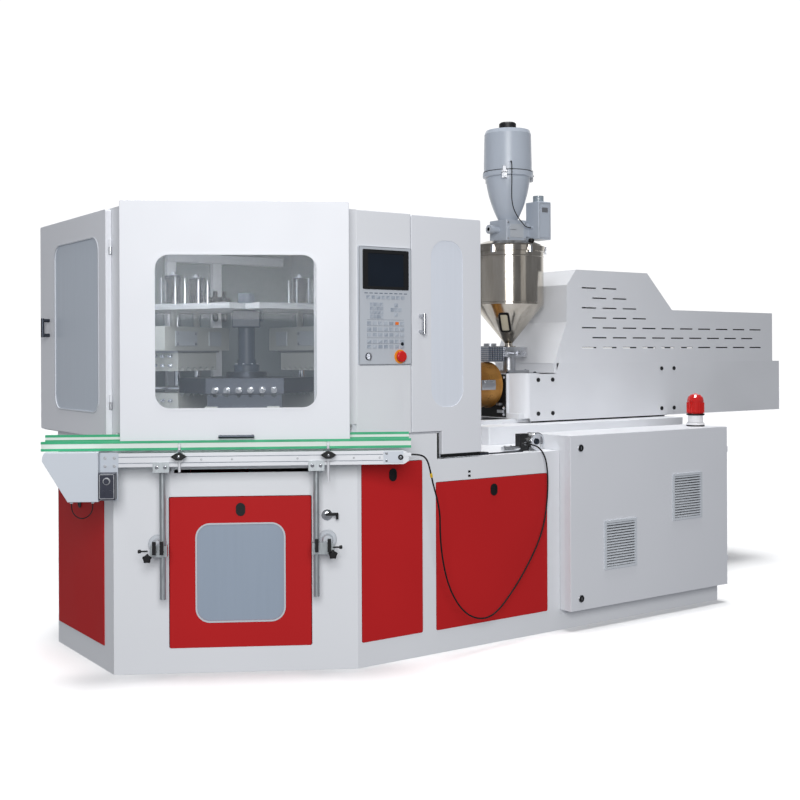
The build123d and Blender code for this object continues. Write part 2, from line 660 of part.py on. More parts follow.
with BuildPart() as press_bed:
    for turn in stations:
        with turned_by(turn):
            block((-90.0, platen_r[1]), (-platen_half, platen_half), bed_z)
    with turned_by(strip_turn):
        block((0.0, 645.0), (-200.0, 200.0), bed_z)
        for r in ((270.0, 290.0), (620.0, 640.0)):
            for side in (1, -1):
                block(r, grown((side * guide_s, side * guide_s), 30.0), (bed_z[1], guide_z + 30.0))
        for side in (1, -1):
            bar_x((270.0, 640.0), side * guide_s, guide_z, guide_r)
    block((block_right + 60.0, block_right + 120.0), (-250.0, 250.0), (bench_z, bed_z[0]))
    bar_z(0, 0, bed_z, shaft_bore, Mode.SUBTRACT)
save(press_bed, "press_bed")


def mould_cavities(root_r, cavity_r, z):
    """Half-round pockets for the rods in a mould face."""
    for s in rod_s:
        bar_x((mould_r[0] - 1, mould_r[0] + 6.0), s, z, root_r, Mode.SUBTRACT)
        bar_x((mould_r[0] - 1, face_reach + rod_length + 6.0), s, z, cavity_r, Mode.SUBTRACT)


cavity_r = {stations[0]: 14.0, stations[1]: 21.0}
with BuildPart() as lower_moulds:
    for turn in stations:
        with turned_by(turn):
            block(mould_r, (-mould_half, mould_half), (bed_z[1], parting_z))
            mould_cavities(rod_cap_r + 1.0, cavity_r[turn], parting_z)
    with turned_by(stations[0]):
        block((mould_r[1] + 5, mould_r[1] + 50), (-60.0, 60.0), (bed_z[1], nozzle_z + 42.0))
        block((mould_r[1] - 1, mould_r[1] + 6), (-60.0, 60.0), (bed_z[1], parting_z - 40.0))
save(lower_moulds, "lower_moulds")

with BuildPart() as press_columns:
    for turn in stations:
        with turned_by(turn):
            for r, s in column_spots:
                bar_z(r, s, (bed_z[1], head_plate_z[0]), column_r)
save(press_columns, "press_columns")

ram_top = platen_z[1] + 230.0
cylinder_top = ram_top + 50.0
with BuildPart() as press_head:
    for turn in stations:
        with turned_by(turn):
            block((-90.0, platen_r[1]), (-platen_half, platen_half), head_plate_z)
            for r, s in ram_at:
                bar_z(r, s, (head_plate_z[1], cylinder_top), 40.0)
                bar_z(r, s, (cylinder_top - 25, cylinder_top), 48.0)
                bar_z(r, s, (head_plate_z[1], head_plate_z[1] + 22), 52.0)
    for turn in stations:
        with turned_by(turn):
            for r, s in ram_at:
                bar_z(r, s, (head_plate_z[0], cylinder_top - 25), ram_r + run_gap, Mode.SUBTRACT)
    bar_z(0, 0, head_plate_z, shaft_bore, Mode.SUBTRACT)
save(press_head, "press_head")


def clamp(turn, root_r, pocket_r):
    """A moving platen with its upper mould and the two rams that push it."""
    with BuildPart(station_plane(turn)) as moving:
        block(platen_r, (-platen_half, platen_half), platen_z)
        for r, s in column_spots:
            bar_z(r, s, platen_z, column_r + run_gap, Mode.SUBTRACT)
        block(mould_r, (-mould_half, mould_half), (upper_rest, platen_z[0]))
        mould_cavities(root_r, pocket_r, upper_rest)
        for r, s in ram_at:
            bar_z(r, s, (platen_z[1], ram_top), ram_r)
    return moving


injection_clamp = clamp(stations[0], rod_cap_r + 1.0, cavity_r[stations[0]])
save(injection_clamp, "injection_clamp")
blow_clamp = clamp(stations[1], rod_cap_r + 1.0, cavity_r[stations[1]])
save(blow_clamp, "blow_clamp")

flange_z = (head_z[0] - seat_gap - 20.0, head_z[0] - seat_gap)
with BuildPart() as index_column:
    bar_z(0, 0, (bed_z[0] + head_lift + 5.0, head_plate_z[1] + 60.0), shaft_r)
    bar_z(0, 0, flange_z, 75.0)
save(index_column, "index_column")

head_width = 400.0
with BuildPart() as turret_head:
    corners = []
    for turn in (0.0, 120.0, 240.0):
        for side in (-1, 1):
            corner = Vector(face_reach, side * head_width / 2, 0).rotate(Axis.Z, turn)
            corners.append((corner.X, corner.Y))
    prism(corners, Plane.XY.offset(head_z[0]), head_z[1] - head_z[0])
    bar_z(0, 0, head_z, shaft_bore, Mode.SUBTRACT)
    bar_z(0, 0, (head_z[1], head_z[1] + 30.0), 110.0)
    bar_z(0, 0, (head_z[1], head_z[1] + 30.0), shaft_bore, Mode.SUBTRACT)
save(turret_head, "turret_head")

with BuildPart() as core_rods:
    for turn in (0.0, 120.0, 240.0):
        with turned_by(turn):
            for s in rod_s:
                bar_x((face_reach, face_reach + 20.0), s, head_axis_z, rod_cap_r)
                bar_x((face_reach + 20.0, face_reach + rod_length), s, head_axis_z, rod_r)
save(core_rods, "core_rods")

comb_r = (325.0, 345.0)
comb_top = parting_z + 2.0
with BuildPart(station_plane(strip_turn)) as stripper:
    block(comb_r, (-190.0, 190.0), (guide_z - 25.0, comb_top))
    for s in rod_s:
        bar_x(comb_r, s, parting_z, rod_r + 1.0, Mode.SUBTRACT)
        block(comb_r, grown((s, s), rod_r + 1.0), (parting_z, comb_top), Mode.SUBTRACT)
    for side in (1, -1):
        bar_x(comb_r, side * guide_s, guide_z, guide_r + run_gap, Mode.SUBTRACT)
save(stripper, "stripper")

# Take-off conveyor, in the frame of the oblique face

near_t, far_t = (144.0, 152.0), (48.0, 56.0)
near_rail_t, far_rail_t = (146.0, 154.0), (50.0, 58.0)
knob_u = (322.0, 1001.0)
gland_u = 1387.0
belt_t = (58.0, 142.0)
plate_end = idler_u + 42.0
journal_r = 8.0
belt_inner = roller_r + seat_gap


def conveyor_plate(start, thick):
    """A side plate of the conveyor with a round right end."""
    block((start, idler_u), conv_z, thick)
    bar_z(idler_u, span(conv_z)[0], thick, span(conv_z)[1] / 2)
    block((idler_u, plate_end - 12.0), grown((span(conv_z)[0],) * 2, 20.0), thick)


with BuildPart(strip_plane) as conveyor_frame:
    conveyor_plate(drive_u - 30.0, near_t)
    conveyor_plate(drive_u - 30.0, far_t)
    prism([(drive_u - 30.0, 1054.0), (drive_u - 30.0, 876.0), (drive_u - 5.0, 836.0), (44.0, 836.0),
           (44.0, 1054.0)], strip_plane.offset(near_t[0]), near_t[1] - near_t[0])
    for u in (-60.0, 300.0, 640.0, 980.0, 1250.0):
        block((u, u + 30.0), (998.0, 1022.0), (far_t[1], near_t[0]))
    block((-60.0, 1280.0), (1022.0, roller_z + roller_r - 0.5), belt_t)
    for z in (1004.0, 1032.0):
        block((44.0, 1290.0), (z - 2.5, z + 2.5), (near_t[1] - 2.0, near_t[1]), Mode.SUBTRACT)
    for u in (drive_u, idler_u):
        for t in (near_t, far_t):
            bar_z(u, roller_z, t, journal_r + run_gap, Mode.SUBTRACT)
    # uprights that hold the two guide rails
    for u, low in zip(knob_u, (962.0, 912.0)):
        block(grown((u, u), 16.0), (1008.0, 1048.0), (near_t[1], near_t[1] + 26.0))
        bar_y(u, (low, 1094.0), near_t[1] + 13.0, 6.0)
        bar_z(u, 1084.0, (near_rail_t[1] - 3.0, near_t[1] + 19.0), 6.0)
        bar_z(u, 1028.0, (near_t[1] + 26.0, near_t[1] + 40.0), 7.0)
        block(grown((u, u), 16.0), (1008.0, 1048.0), (far_t[0] - 18.0, far_t[0]))
        bar_y(u, (1008.0, 1115.0), far_t[0] - 9.0, 6.0)
        bar_z(u, 1108.0, (far_t[0] - 9.0, far_rail_t[0] + 3.0), 6.0)
    # drive motor and its gear, behind the cover at the left end
    bar_z(-100.0, 925.0, (near_t[1], near_t[1] + 40.0), 45.0)
    bar_z(drive_u - 6.0, 960.0, (near_t[1], near_t[1] + 30.0), 14.0)
    # gland of the supply cable at the right end
    block((idler_u + 10.0, gland_u), (1022.0, 1038.0), (near_t[0], near_t[1] + 4.0))
save(conveyor_frame, "conveyor_frame")

with BuildPart(strip_plane) as conveyor_belt:
    for u in (drive_u, idler_u):
        bar_z(u, roller_z, belt_t, roller_r + belt_thick + seat_gap)
    block((drive_u, idler_u), grown((roller_z, roller_z), roller_r + belt_thick + seat_gap), belt_t)
    for u in (drive_u, idler_u):
        bar_z(u, roller_z, belt_t, belt_inner, Mode.SUBTRACT)
    block((drive_u, idler_u), grown((roller_z, roller_z), belt_inner), belt_t, Mode.SUBTRACT)
save(conveyor_belt, "conveyor_belt")


def roller(u):
    """A belt roller with its journals and a key flat on the drum."""
    with BuildPart(strip_plane) as drum:
        bar_z(u, roller_z, (far_t[1] + 1.0, near_t[0] - 1.0), roller_r)
        bar_z(u, roller_z, (far_t[0], near_t[1]), journal_r)
    return drum


drive_roller = roller(drive_u)
save(drive_roller, "drive_roller")
idler_roller = roller(idler_u)
save(idler_roller, "idler_roller")

with BuildPart(strip_plane) as guide_rails:
    for z, t, inward in ((near_rail_z, near_rail_t, 1), (far_rail_z, far_rail_t, -1)):
        block(rail_u, z, t)
        side = t[1] if inward > 0 else t[0]
        block(rail_u, (z[0] + 11.0, z[1] - 11.0), sorted((side, side - inward * 3.0)), Mode.SUBTRACT)
save(guide_rails, "guide_rails")

loop_u = (-160.0, -65.0)
loop_top = 828.0
cover_outline = [(-285.0, 1040.0), (-276.0, 1060.0), (-37.0, 1060.0), (-37.0, 836.0), (-173.0, 836.0),
                 (-285.0, 1020.0)]
cover_in = [(-281.5, 1039.0), (-274.0, 1057.0), (-40.0, 1057.0), (-40.0, 839.0), (-171.5, 839.0),
            (-281.5, 1021.0)]
with BuildPart() as conveyor_drive_cover:
    prism(cover_outline, strip_plane.offset(near_t[1]), 50.0)
    fillet(conveyor_drive_cover.edges().group_by(Axis(strip_plane.origin, strip_plane.z_dir))[-1], 2.5)
    prism(cover_in, strip_plane.offset(near_t[1]), 47.0, Mode.SUBTRACT)
    for u in loop_u:
        gland = strip_plane.from_local_coords((u, 840.0, near_t[1] + 25.0))
        with BuildSketch(Plane(origin=gland, z_dir=(0, 0, -1))) as gland_ring:
            Circle(7.0)
        extrude(gland_ring.sketch, amount=840.0 - loop_top)
save(conveyor_drive_cover, "conveyor_drive_cover")

with BuildPart(strip_plane) as conveyor_control_box:
    block((-34.0, 39.0), (846.0, 965.0), (near_t[1], near_t[1] + 60.0))
    fillet(conveyor_control_box.edges().group_by(Axis(strip_plane.origin, strip_plane.z_dir))[-1], 3.0)
    bar_z(2.0, 930.0, (near_t[1] + 60.0, near_t[1] + 74.0), 12.0)
    bar_z(-14.0, 880.0, (near_t[1] + 60.0, near_t[1] + 66.0), 9.0)
    bar_z(18.0, 880.0, (near_t[1] + 60.0, near_t[1] + 66.0), 9.0)
save(conveyor_control_box, "conveyor_control_box")

arm_u = (204.0, 1005.0)
arm_z = 594.0
post_t = 100.0
with BuildPart(strip_plane) as conveyor_posts:
    for u, arm in zip(post_u, arm_u):
        bar_y(u, (post_z[0], conv_z[0] - 26.0), post_t, post_r)
        block(grown((u, u), 37.0), (conv_z[0] - 26.0, conv_z[0] - 2.0), (far_t[0], near_t[1]))
        for side in (near_t, far_t):
            block(grown((u, u), 37.0), (conv_z[0] - 2.0, conv_z[0]), side)
        block(grown((u, u), 37.0), (conv_z[0] - 26.0, 1008.0), (near_t[1], near_t[1] + 8.0))
        bar_z(arm, arm_z, (0.0, post_t + 20.0), 12.0)
        block(grown((arm, arm), 30.0), (arm_z - 45.0, arm_z + 45.0), (0.0, 10.0))
        block((min(u, arm) - 22.0, max(u, arm) + 22.0), (arm_z - 26.0, arm_z + 26.0),
              (post_t - 22.0, post_t + 22.0))
save(conveyor_posts, "conveyor_posts")

with BuildPart(strip_plane) as clamp_knobs:
    for u in (*post_u, *arm_u):
        bar_z(u, arm_z, (post_t + 22.0, post_t + 42.0), 8.0)
        block(grown((u, u), 8.0), (arm_z - 10.0, arm_z + 50.0), (post_t + 42.0, post_t + 56.0))
    for u in knob_u:
        prism([(u - 37, 1036.0), (u - 12, 1020.0), (u + 12, 1020.0), (u + 37, 1036.0), (u + 12, 1052.0),
               (u - 12, 1052.0)], strip_plane.offset(near_t[1] + 40.0), 16.0)
save(clamp_knobs, "clamp_knobs")

# Injection unit

rail_y, rail_w, rail_h = 200.0, 34.0, 24.0
carriage_z = slide_z + rail_h + seat_gap
with BuildPart() as slide_base:
    block(slide_x, (-slide_half, slide_half), (bench_z, slide_z))
    fillet(slide_base.edges().filter_by(Axis.Z), 12.0)
    block((slide_x[0] + 60.0, slide_x[1] - 60.0), (-120.0, 120.0), (bench_z + 30.0, slide_z), Mode.SUBTRACT)
    for side in (1, -1):
        block((slide_x[0] + 20.0, slide_x[1] - 20.0), grown((side * rail_y,) * 2, rail_w / 2),
              (slide_z, slide_z + rail_h))
save(slide_base, "slide_base")

throat_r = 23.5
front_block_x = (1720.0, 1997.0)
rear_block_x = (2900.0, 3107.0)
cover_in_half = cover_half - 3.0
throat_top = 1373.0
carriage_back = 4100.0
with BuildPart() as injection_carriage:
    block((1720.0, 3107.0), (-cover_in_half + 20, cover_in_half - 20), (carriage_z, carriage_z + 34.0))
    for side in (1, -1):
        for x in (front_block_x[0] + 20.0, 2100.0, 2560.0, rear_block_x[0] + 60.0):
            block((x, x + 120.0), grown((side * rail_y,) * 2, rail_w / 2 + 16.0),
                  (slide_z + 4.0, carriage_z))
            block((x, x + 120.0), grown((side * rail_y,) * 2, rail_w / 2 + seat_gap),
                  (slide_z + 4.0, carriage_z), Mode.SUBTRACT)
    block(front_block_x, (-150.0, 150.0), (carriage_z, throat_top))
    block((1845.0, 1990.0), (-cover_in_half, cover_in_half), (carriage_z + 10, 1360.0))
    block(rear_block_x, (-cover_in_half, cover_in_half), (carriage_z + 10, 1420.0))
    block((rear_block_x[1], carriage_back), (-150.0, 150.0), (1160.0, 1190.0))
    bar_x((rear_block_x[1], 3900.0), 0, nozzle_z, 105.0)
    bar_x((3900.0, 4060.0), 0, nozzle_z, 85.0)
    bar_x((front_block_x[0], front_block_x[0] + 60.0), 0, nozzle_z, barrel_r, Mode.SUBTRACT)
    bar_x((front_block_x[0], front_block_x[1]), 0, nozzle_z, screw_r + run_gap, Mode.SUBTRACT)
    bar_x((rear_block_x[0], rear_block_x[1]), 0, nozzle_z, screw_r + run_gap, Mode.SUBTRACT)
    bar_z(hopper_x, 0, (nozzle_z, throat_top), throat_r, Mode.SUBTRACT)
save(injection_carriage, "injection_carriage")

x_axis = Axis((0, 0, nozzle_z), (1, 0, 0))
xz_plane = Plane(origin=(0, 0, nozzle_z), x_dir=(1, 0, 0), z_dir=(0, -1, 0))
nozzle_tip = mould_r[1] + 51.0
with BuildPart() as injection_barrel:
    turned([(nozzle_tip, 4.0), (nozzle_tip, 12.0), (nozzle_tip + 8, 20.0), (640.0, 22.0), (648.0, 34.0),
            (690.0, 34.0), (700.0, barrel_r), (front_block_x[0] + 60.0, barrel_r),
            (front_block_x[0] + 60.0, screw_r + run_gap), (740.0, screw_r + run_gap), (710.0, 4.0)],
           xz_plane, x_axis)
save(injection_barrel, "injection_barrel")

with BuildPart() as injection_screw:
    turned([(715.0, 0.0), (742.0, screw_r), (rear_block_x[1] - 1.0, screw_r), (rear_block_x[1] - 1.0, 0.0)],
           xz_plane, x_axis)
    for k in range(28):
        start = 760.0 + 40.0 * k
        turned([(start, 20.0), (start, screw_r + 1), (start + 28.0, screw_r + 1), (start + 28.0, 20.0)],
               xz_plane, x_axis, Mode.SUBTRACT)
save(injection_screw, "injection_screw")

with BuildPart() as heater_cover:
    turned([(heater_x[0], barrel_r), (heater_x[0], heater_r - 2), (heater_x[0] + 2, heater_r),
            (heater_x[1] - 2, heater_r), (heater_x[1], heater_r - 2), (heater_x[1], barrel_r),
            (heater_x[1] - 3, barrel_r), (heater_x[1] - 3, heater_r - 3), (heater_x[0] + 3, heater_r - 3),
            (heater_x[0] + 3, barrel_r)], xz_plane, x_axis)
save(heater_cover, "heater_cover")

blower_x = (1650.0, 1780.0)
throat_tube = 84.0
gate_height = 63.0
gate_z = (throat_top + 18.0 + throat_tube, throat_top + 18.0 + throat_tube + gate_height)
gate_slot = (gate_z[0] + 19.0, gate_z[0] + 29.0)
blower_z = (gate_z[0] - 30.0, gate_z[1] + 5.0)
hopper_axis = Axis((hopper_x, 0, 0), (0, 0, 1))
hopper_plane = Plane(origin=(hopper_x, 0, 0), x_dir=(1, 0, 0), z_dir=(0, -1, 0))
with BuildPart() as hopper_throat:
    block((hopper_x - 90, hopper_x + 92), (-90.0, 90.0), (throat_top, throat_top + 18.0))
    bar_z(hopper_x, 0, (throat_top + 18.0, gate_z[0]), 42.0)
    block((hopper_x - 88, hopper_x + 92), (-70.0, 70.0), gate_z)
    block((hopper_x - 50, hopper_x + 50), (-70.0, 41.0), gate_slot, Mode.SUBTRACT)
    bar_z(hopper_x, 0, (throat_top, gate_z[1]), throat_r, Mode.SUBTRACT)
    # finned housing at the side of the throat
    block(blower_x, (-60.0, 60.0), blower_z)
    for k in range(6):
        block((blower_x[0] + 10 + 20 * k, blower_x[0] + 18 + 20 * k), (-60.0, -48.0), grown(blower_z, -5.0),
              Mode.SUBTRACT)
        block((blower_x[0] + 10 + 20 * k, blower_x[0] + 18 + 20 * k), (48.0, 60.0), grown(blower_z, -5.0),
              Mode.SUBTRACT)
    bar_z(span(blower_x)[0], 0, (blower_z[1], blower_z[1] + 17.0), 40.0)
save(hopper_throat, "hopper_throat")

with BuildPart() as shutoff_slide:
    block(grown((hopper_x, hopper_x), 50.0 - seat_gap), (-112.0, 40.0), grown(gate_slot, -seat_gap))
    bar_z(hopper_x, -20.0, gate_slot, throat_r, Mode.SUBTRACT)
    bar_z(hopper_x, 0.0, gate_slot, throat_r, Mode.SUBTRACT)
    block(grown((hopper_x, hopper_x), 30.0), (-124.0, -112.0), (gate_slot[0] - 10, gate_slot[1] + 10))
save(shutoff_slide, "shutoff_slide")

hop = hopper_sheet
cone_foot = gate_z[1] + 24.0
cone_height, shell_height, rim_height, lid_height = 242.0, 328.0, 19.0, 49.0
cone_top = cone_foot + cone_height
cyl_top = cone_top + shell_height
rim_top = cyl_top + rim_height
lid_top = rim_top + lid_height
with BuildPart() as hopper:
    turned([(throat_r, gate_z[1]), (throat_r + hop + 20, gate_z[1]), (throat_r + hop + 20, gate_z[1] + 6),
            (throat_r + hop, gate_z[1] + 6), (throat_r + hop, cone_foot), (hopper_r, cone_top),
            (hopper_r, cyl_top), (hopper_r + 7, cyl_top + 3), (hopper_r + 7, rim_top),
            (hopper_r - hop, rim_top), (hopper_r - hop, cone_top + 0.7), (throat_r, cone_foot + 0.7)],
           hopper_plane, hopper_axis)
    turned([(0, rim_top), (hopper_r + 9, rim_top), (hopper_r + 9, rim_top + 16), (hopper_r - 8, rim_top + 18),
            (hopper_r - 14, rim_top + 0.6 * lid_height), (hopper_r - 60, lid_top), (0, lid_top)],
           hopper_plane, hopper_axis)
save(hopper, "hopper")

loader_half = 83.0
valve_height, bowl_height, band_height = 136.0, 271.0, 35.0
drum_height, cap_height, cap_r = 262.0, 54.0, 54.0
bowl_r, band_r, drum_r = 138.0, 158.0, 151.0
valve_top = lid_top + valve_height
bowl_top = valve_top + bowl_height
band_top = bowl_top + band_height
drum_top = band_top + drum_height
gland_turn = 34.6
gland_way = (-sin(radians(gland_turn)), -cos(radians(gland_turn)))
gland_root = (hopper_x + 140.0 * gland_way[0], 140.0 * gland_way[1])
gland_rise = 47.0            # gland above the clamp band
gland_height = band_top + gland_rise
with BuildPart() as loader_body:
    block(grown((hopper_x, hopper_x), loader_half), (-loader_half, loader_half), (lid_top, valve_top))
    fillet(loader_body.edges().filter_by(Axis.Z), 6.0)
    # bowl with a curved side, narrowing to the valve
    with BuildSketch(hopper_plane) as bowl:
        with BuildLine():
            foot = Polyline((0, bowl_top), (0, valve_top), (58.0, valve_top), (61.0, valve_top + 4.0))
            side = ThreePointArc(foot @ 1, (bowl_r - 23.0, valve_top + 0.52 * bowl_height),
                                 (bowl_r, bowl_top - 18.0))
            Polyline(side @ 1, (bowl_r, bowl_top), foot @ 0)
        make_face()
    revolve(bowl.sketch, axis=hopper_axis)
    turned([(0, bowl_top), (band_r - 12.0, bowl_top), (band_r, bowl_top + 5.0), (band_r, band_top - 4.0),
            (band_r - 8.0, band_top), (0, band_top)], hopper_plane, hopper_axis)
    bar_x((hopper_x - loader_half - 47.0, hopper_x - loader_half), 0.0, lid_top + 75.0, 20.0)
    bar_x((hopper_x - loader_half - 77.0, hopper_x - loader_half - 47.0), 0.0, lid_top + 75.0, 28.0)
    turned([(0, band_top), (drum_r, band_top), (drum_r, band_top + 58.0), (drum_r - 4.0, drum_top - 24.0),
            (drum_r - 13.0, drum_top), (cap_r, drum_top + 6.0), (cap_r, drum_top + cap_height - 8.0),
            (cap_r - 8.0, drum_top + cap_height), (0, drum_top + cap_height)], hopper_plane, hopper_axis)
    # gland of the cable on the drum
    with BuildSketch(Plane(origin=(*gland_root, gland_height), z_dir=(*gland_way, 0))) as gland_ring:
        Circle(8.0)
    extrude(gland_ring.sketch, amount=23.0)
save(loader_body, "loader_body")

loader_box_x = (1978.0, 2083.0)
loader_box_y = (-165.0, -45.0)
loader_box_z = (lid_top + 14.0, lid_top + 253.0)
box_gland = (-105.0, lid_top + 90.0)
with BuildPart() as loader_control_box:
    block(loader_box_x, loader_box_y, loader_box_z)
    fillet(loader_control_box.edges(), 5.0)
    block((hopper_x + loader_half, loader_box_x[0]), (-78.0, -50.0), (lid_top + 35.0, lid_top + 120.0))
    bar_z(span(loader_box_x)[0], span(loader_box_y)[0], (loader_box_z[1], loader_box_z[1] + 40.0), 34.0)
    bar_x((loader_box_x[0] - 10.0, loader_box_x[0]), *box_gland, 8.0)
save(loader_control_box, "loader_control_box")

# Covers of the injection unit

skirt_z = (1082.0, 1435.0)
skirt_x = (1791.0, 4223.0)
skirt_sheet = 3.0
skirt_front_x = front_block_x[1] + 2.5
side_out = Plane(origin=(0, -cover_half, 0), x_dir=(1, 0, 0), z_dir=(0, -1, 0))
side_back = side_out.offset(-2 * cover_half)
skirt_outline = [(skirt_x[0], skirt_z[0]), (skirt_x[1], skirt_z[0]), (skirt_x[1], skirt_z[1]),
                 (skirt_front_x + 33.5, skirt_z[1]), (skirt_front_x + 7.5, throat_top - 3.0),
                 (skirt_x[0], throat_top - 3.0)]
plug_x = (skirt_x[0] + 66.0, skirt_x[0] + 186.0, rear_block_x[0] + 65.0, rear_block_x[1] - 20.0)
plug_spots = [(x, z) for x in plug_x for z in (1127.0, 1334.0 if x < rear_block_x[0] else 1393.0)]
with BuildPart() as side_skirt:
    prism(skirt_outline, side_out.offset(-skirt_sheet), skirt_sheet)
    prism(skirt_outline, side_back, skirt_sheet)
    block((skirt_x[1] - skirt_sheet, skirt_x[1]), (-cover_half, cover_half), skirt_z)
    for x, z in plug_spots:
        bar_y(x, (-cover_half - 5.0, -cover_half), z, 13.0)
        bar_y(x, (cover_half, cover_half + 5.0), z, 13.0)
save(side_skirt, "side_skirt")

vent_profile = [(1991.0, skirt_z[1]), (2099.0, 1692.0), (2103.0, 1925.0), (2182.0, 2023.0), (2830.0, 2023.0),
                (3072.0, 1784.0), (4145.0, 1780.0), (4145.0, skirt_z[1])]
vent_inner = [(1995.5, skirt_z[1]), (2102.0, 1691.0), (2106.0, 1924.0), (2183.4, 2020.0), (2829.0, 2020.0),
              (3070.8, 1781.0), (4142.0, 1777.0), (4142.0, skirt_z[1])]
slot_w, slot_h = 124.0, 8.0
slot_pitch, slot_first, slot_rise, slot_low = 184.0, 2232.0, 63.0, 1532.0
slot_counts = (10, 9, 10, 3, 3, 2, 2)
with BuildPart() as vent_cover:
    prism(vent_profile, side_back, 2 * cover_half)
    prism(vent_inner, side_back.offset(skirt_sheet), 2 * (cover_half - skirt_sheet), Mode.SUBTRACT)
    for plane in (side_out.offset(-skirt_sheet), side_back):
        with BuildSketch(plane) as slots:
            for row, count in enumerate(slot_counts):
                for k in range(count):
                    x = slot_first + slot_w / 2 + slot_pitch * k + (slot_pitch / 2 if row % 2 else 0)
                    with Locations((x, slot_low + slot_rise * row)):
                        Rectangle(slot_w, slot_h)
        extrude(slots.sketch, amount=skirt_sheet, mode=Mode.SUBTRACT)
    # its front wall reaches down over the carriage block
    block(grown((skirt_front_x, skirt_front_x), 1.5), grown((0, 0), cover_in_half - 0.5),
          (throat_top + 2.0, skirt_z[1] + 11.0))
save(vent_cover, "vent_cover")

# Work lamp standing on the bench

lamp_at = (1305.0, -850.0, bench_z + 49.0)
with BuildPart() as work_lamp:
    bar_y(lamp_at[0], (lamp_at[1] - 24.0, lamp_at[1] + 30.0), lamp_at[2], 49.0)
    bar_y(lamp_at[0], (lamp_at[1] - 26.0, lamp_at[1] - 6.0), lamp_at[2], 43.0, Mode.SUBTRACT)
    bar_y(lamp_at[0], (lamp_at[1] + 30.0, lamp_at[1] + 50.0), lamp_at[2], 30.0)
    block((1197.0, 1262.0), (-858.0, -822.0), (bench_z, 1063.0))
    bar_x((1087.0, 1200.0), -845.0, bench_z + 16.0, 14.0)
    bar_y(1228.0, (-868.0, -858.0), 1010.0, 9.0)
save(work_lamp, "work_lamp")

# Cables: straight runs joined by tangent arcs


def corner_radii(points):
    """The bend radius at each corner of a route, fitted to its shorter run."""
    radii = []
    for a, b, c in zip(points, points[1:], points[2:]):
        before, after = Vector(*b) - Vector(*a), Vector(*c) - Vector(*b)
        half_turn = radians(before.get_angle(after)) / 2
        radii.append(0.45 * min(before.length, after.length) / tan(half_turn))
    return radii


def cable(points, thick, name):
    """A round cable swept along its route; its bend radii and length are printed."""
    points = [tuple(round(v, 1) for v in p) for p in points]
    radii = corner_radii(points)
    with BuildPart() as cord:
        with BuildLine() as route:
            FilletPolyline(*points, radius=radii)
        with BuildSketch(Plane(origin=points[0], z_dir=Vector(*points[1]) - Vector(*points[0]))):
            Circle(thick / 2)
        sweep(path=route.wire())
    length = route.wire().length
    solid = pi * thick ** 2 / 4 * length
    print(name, "bend radii", [round(r) for r in radii], "length", round(length),
          "volume", round(cord.part.volume), "against", round(solid))
    print(name, "route", points)
    return cord


cable_start = strip_plane.from_local_coords((gland_u, 1030.0, span(near_t)[0]))
cable_first = cable_start + along_face * 45.0
conveyor_route = [
    tuple(cable_start), tuple(cable_first), (291.0, -1232.0, 1006.0), (323.0, -1214.0, 945.0),
    (355.0, -1194.0, 876.0), (393.0, -1173.0, 809.0), (422.0, -1158.0, 730.0), (435.0, -1141.0, 643.0),
    (453.0, -1126.0, 558.0), (478.0, -1111.0, 476.0), (509.0, -1098.0, 395.0), (551.0, -1085.0, 320.0),
    (605.0, -1072.0, 251.0), (670.0, -1059.0, 196.0), (751.0, -1046.0, 162.0), (836.0, -1035.0, 158.0),
    (914.0, -1028.0, 196.0), (983.0, -1022.0, 255.0), (1045.0, -1018.0, 314.0), (1103.0, -1013.0, 380.0),
    (1159.0, -1009.0, 450.0), (1206.0, -1006.0, 525.0), (1239.0, -1004.0, 605.0), (1256.0, -1003.0, 688.0),
    (1266.0, -1002.0, 776.0), (1267.0, -1000.0, 863.0), (1261.0, -992.0, 942.0), (1243.0, -964.0, 996.0),
    (1228.0, -915.0, 1010.0), (1228.0, -868.0, 1010.0),
]
conveyor_cable = cable(conveyor_route, 8.0, "conveyor_cable")
save(conveyor_cable, "conveyor_cable")

loop_uz = ((loop_u[0], loop_top), (loop_u[0], 796.0), (-141.0, 768.0), (-112.5, 757.0), (-84.0, 768.0),
           (loop_u[1], 796.0), (loop_u[1], loop_top))
loop_route = [tuple(strip_plane.from_local_coords((u, z, near_t[1] + 25.0))) for u, z in loop_uz]
drive_cable = cable(loop_route, 5.0, "drive_cable")
save(drive_cable, "drive_cable")

loader_start = (hopper_x + 163.0 * gland_way[0], 163.0 * gland_way[1], gland_height)
loader_turn = (hopper_x + 200.0 * gland_way[0], 200.0 * gland_way[1], gland_height)
loader_route = [
    loader_start, loader_turn, (1742.0, -183.0, 2657.0), (1740.5, -184.0, 2610.0), (1743.0, -181.0, 2560.0),
    (1747.0, -175.0, 2500.0), (1752.0, -169.0, 2447.0), (1768.0, -164.0, 2398.0), (1800.0, -155.0, 2358.0),
    (1842.0, -142.0, 2328.0), (1888.0, -124.0, 2305.0), (1928.0, -105.0, 2290.0),
    (loader_box_x[0] - 10.0, -105.0, 2290.0),
]
loader_cable = cable(loader_route, 6.0, "loader_cable")
save(loader_cable, "loader_cable")
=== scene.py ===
import math
import bmesh
import bpy
from mathutils import Matrix, Vector


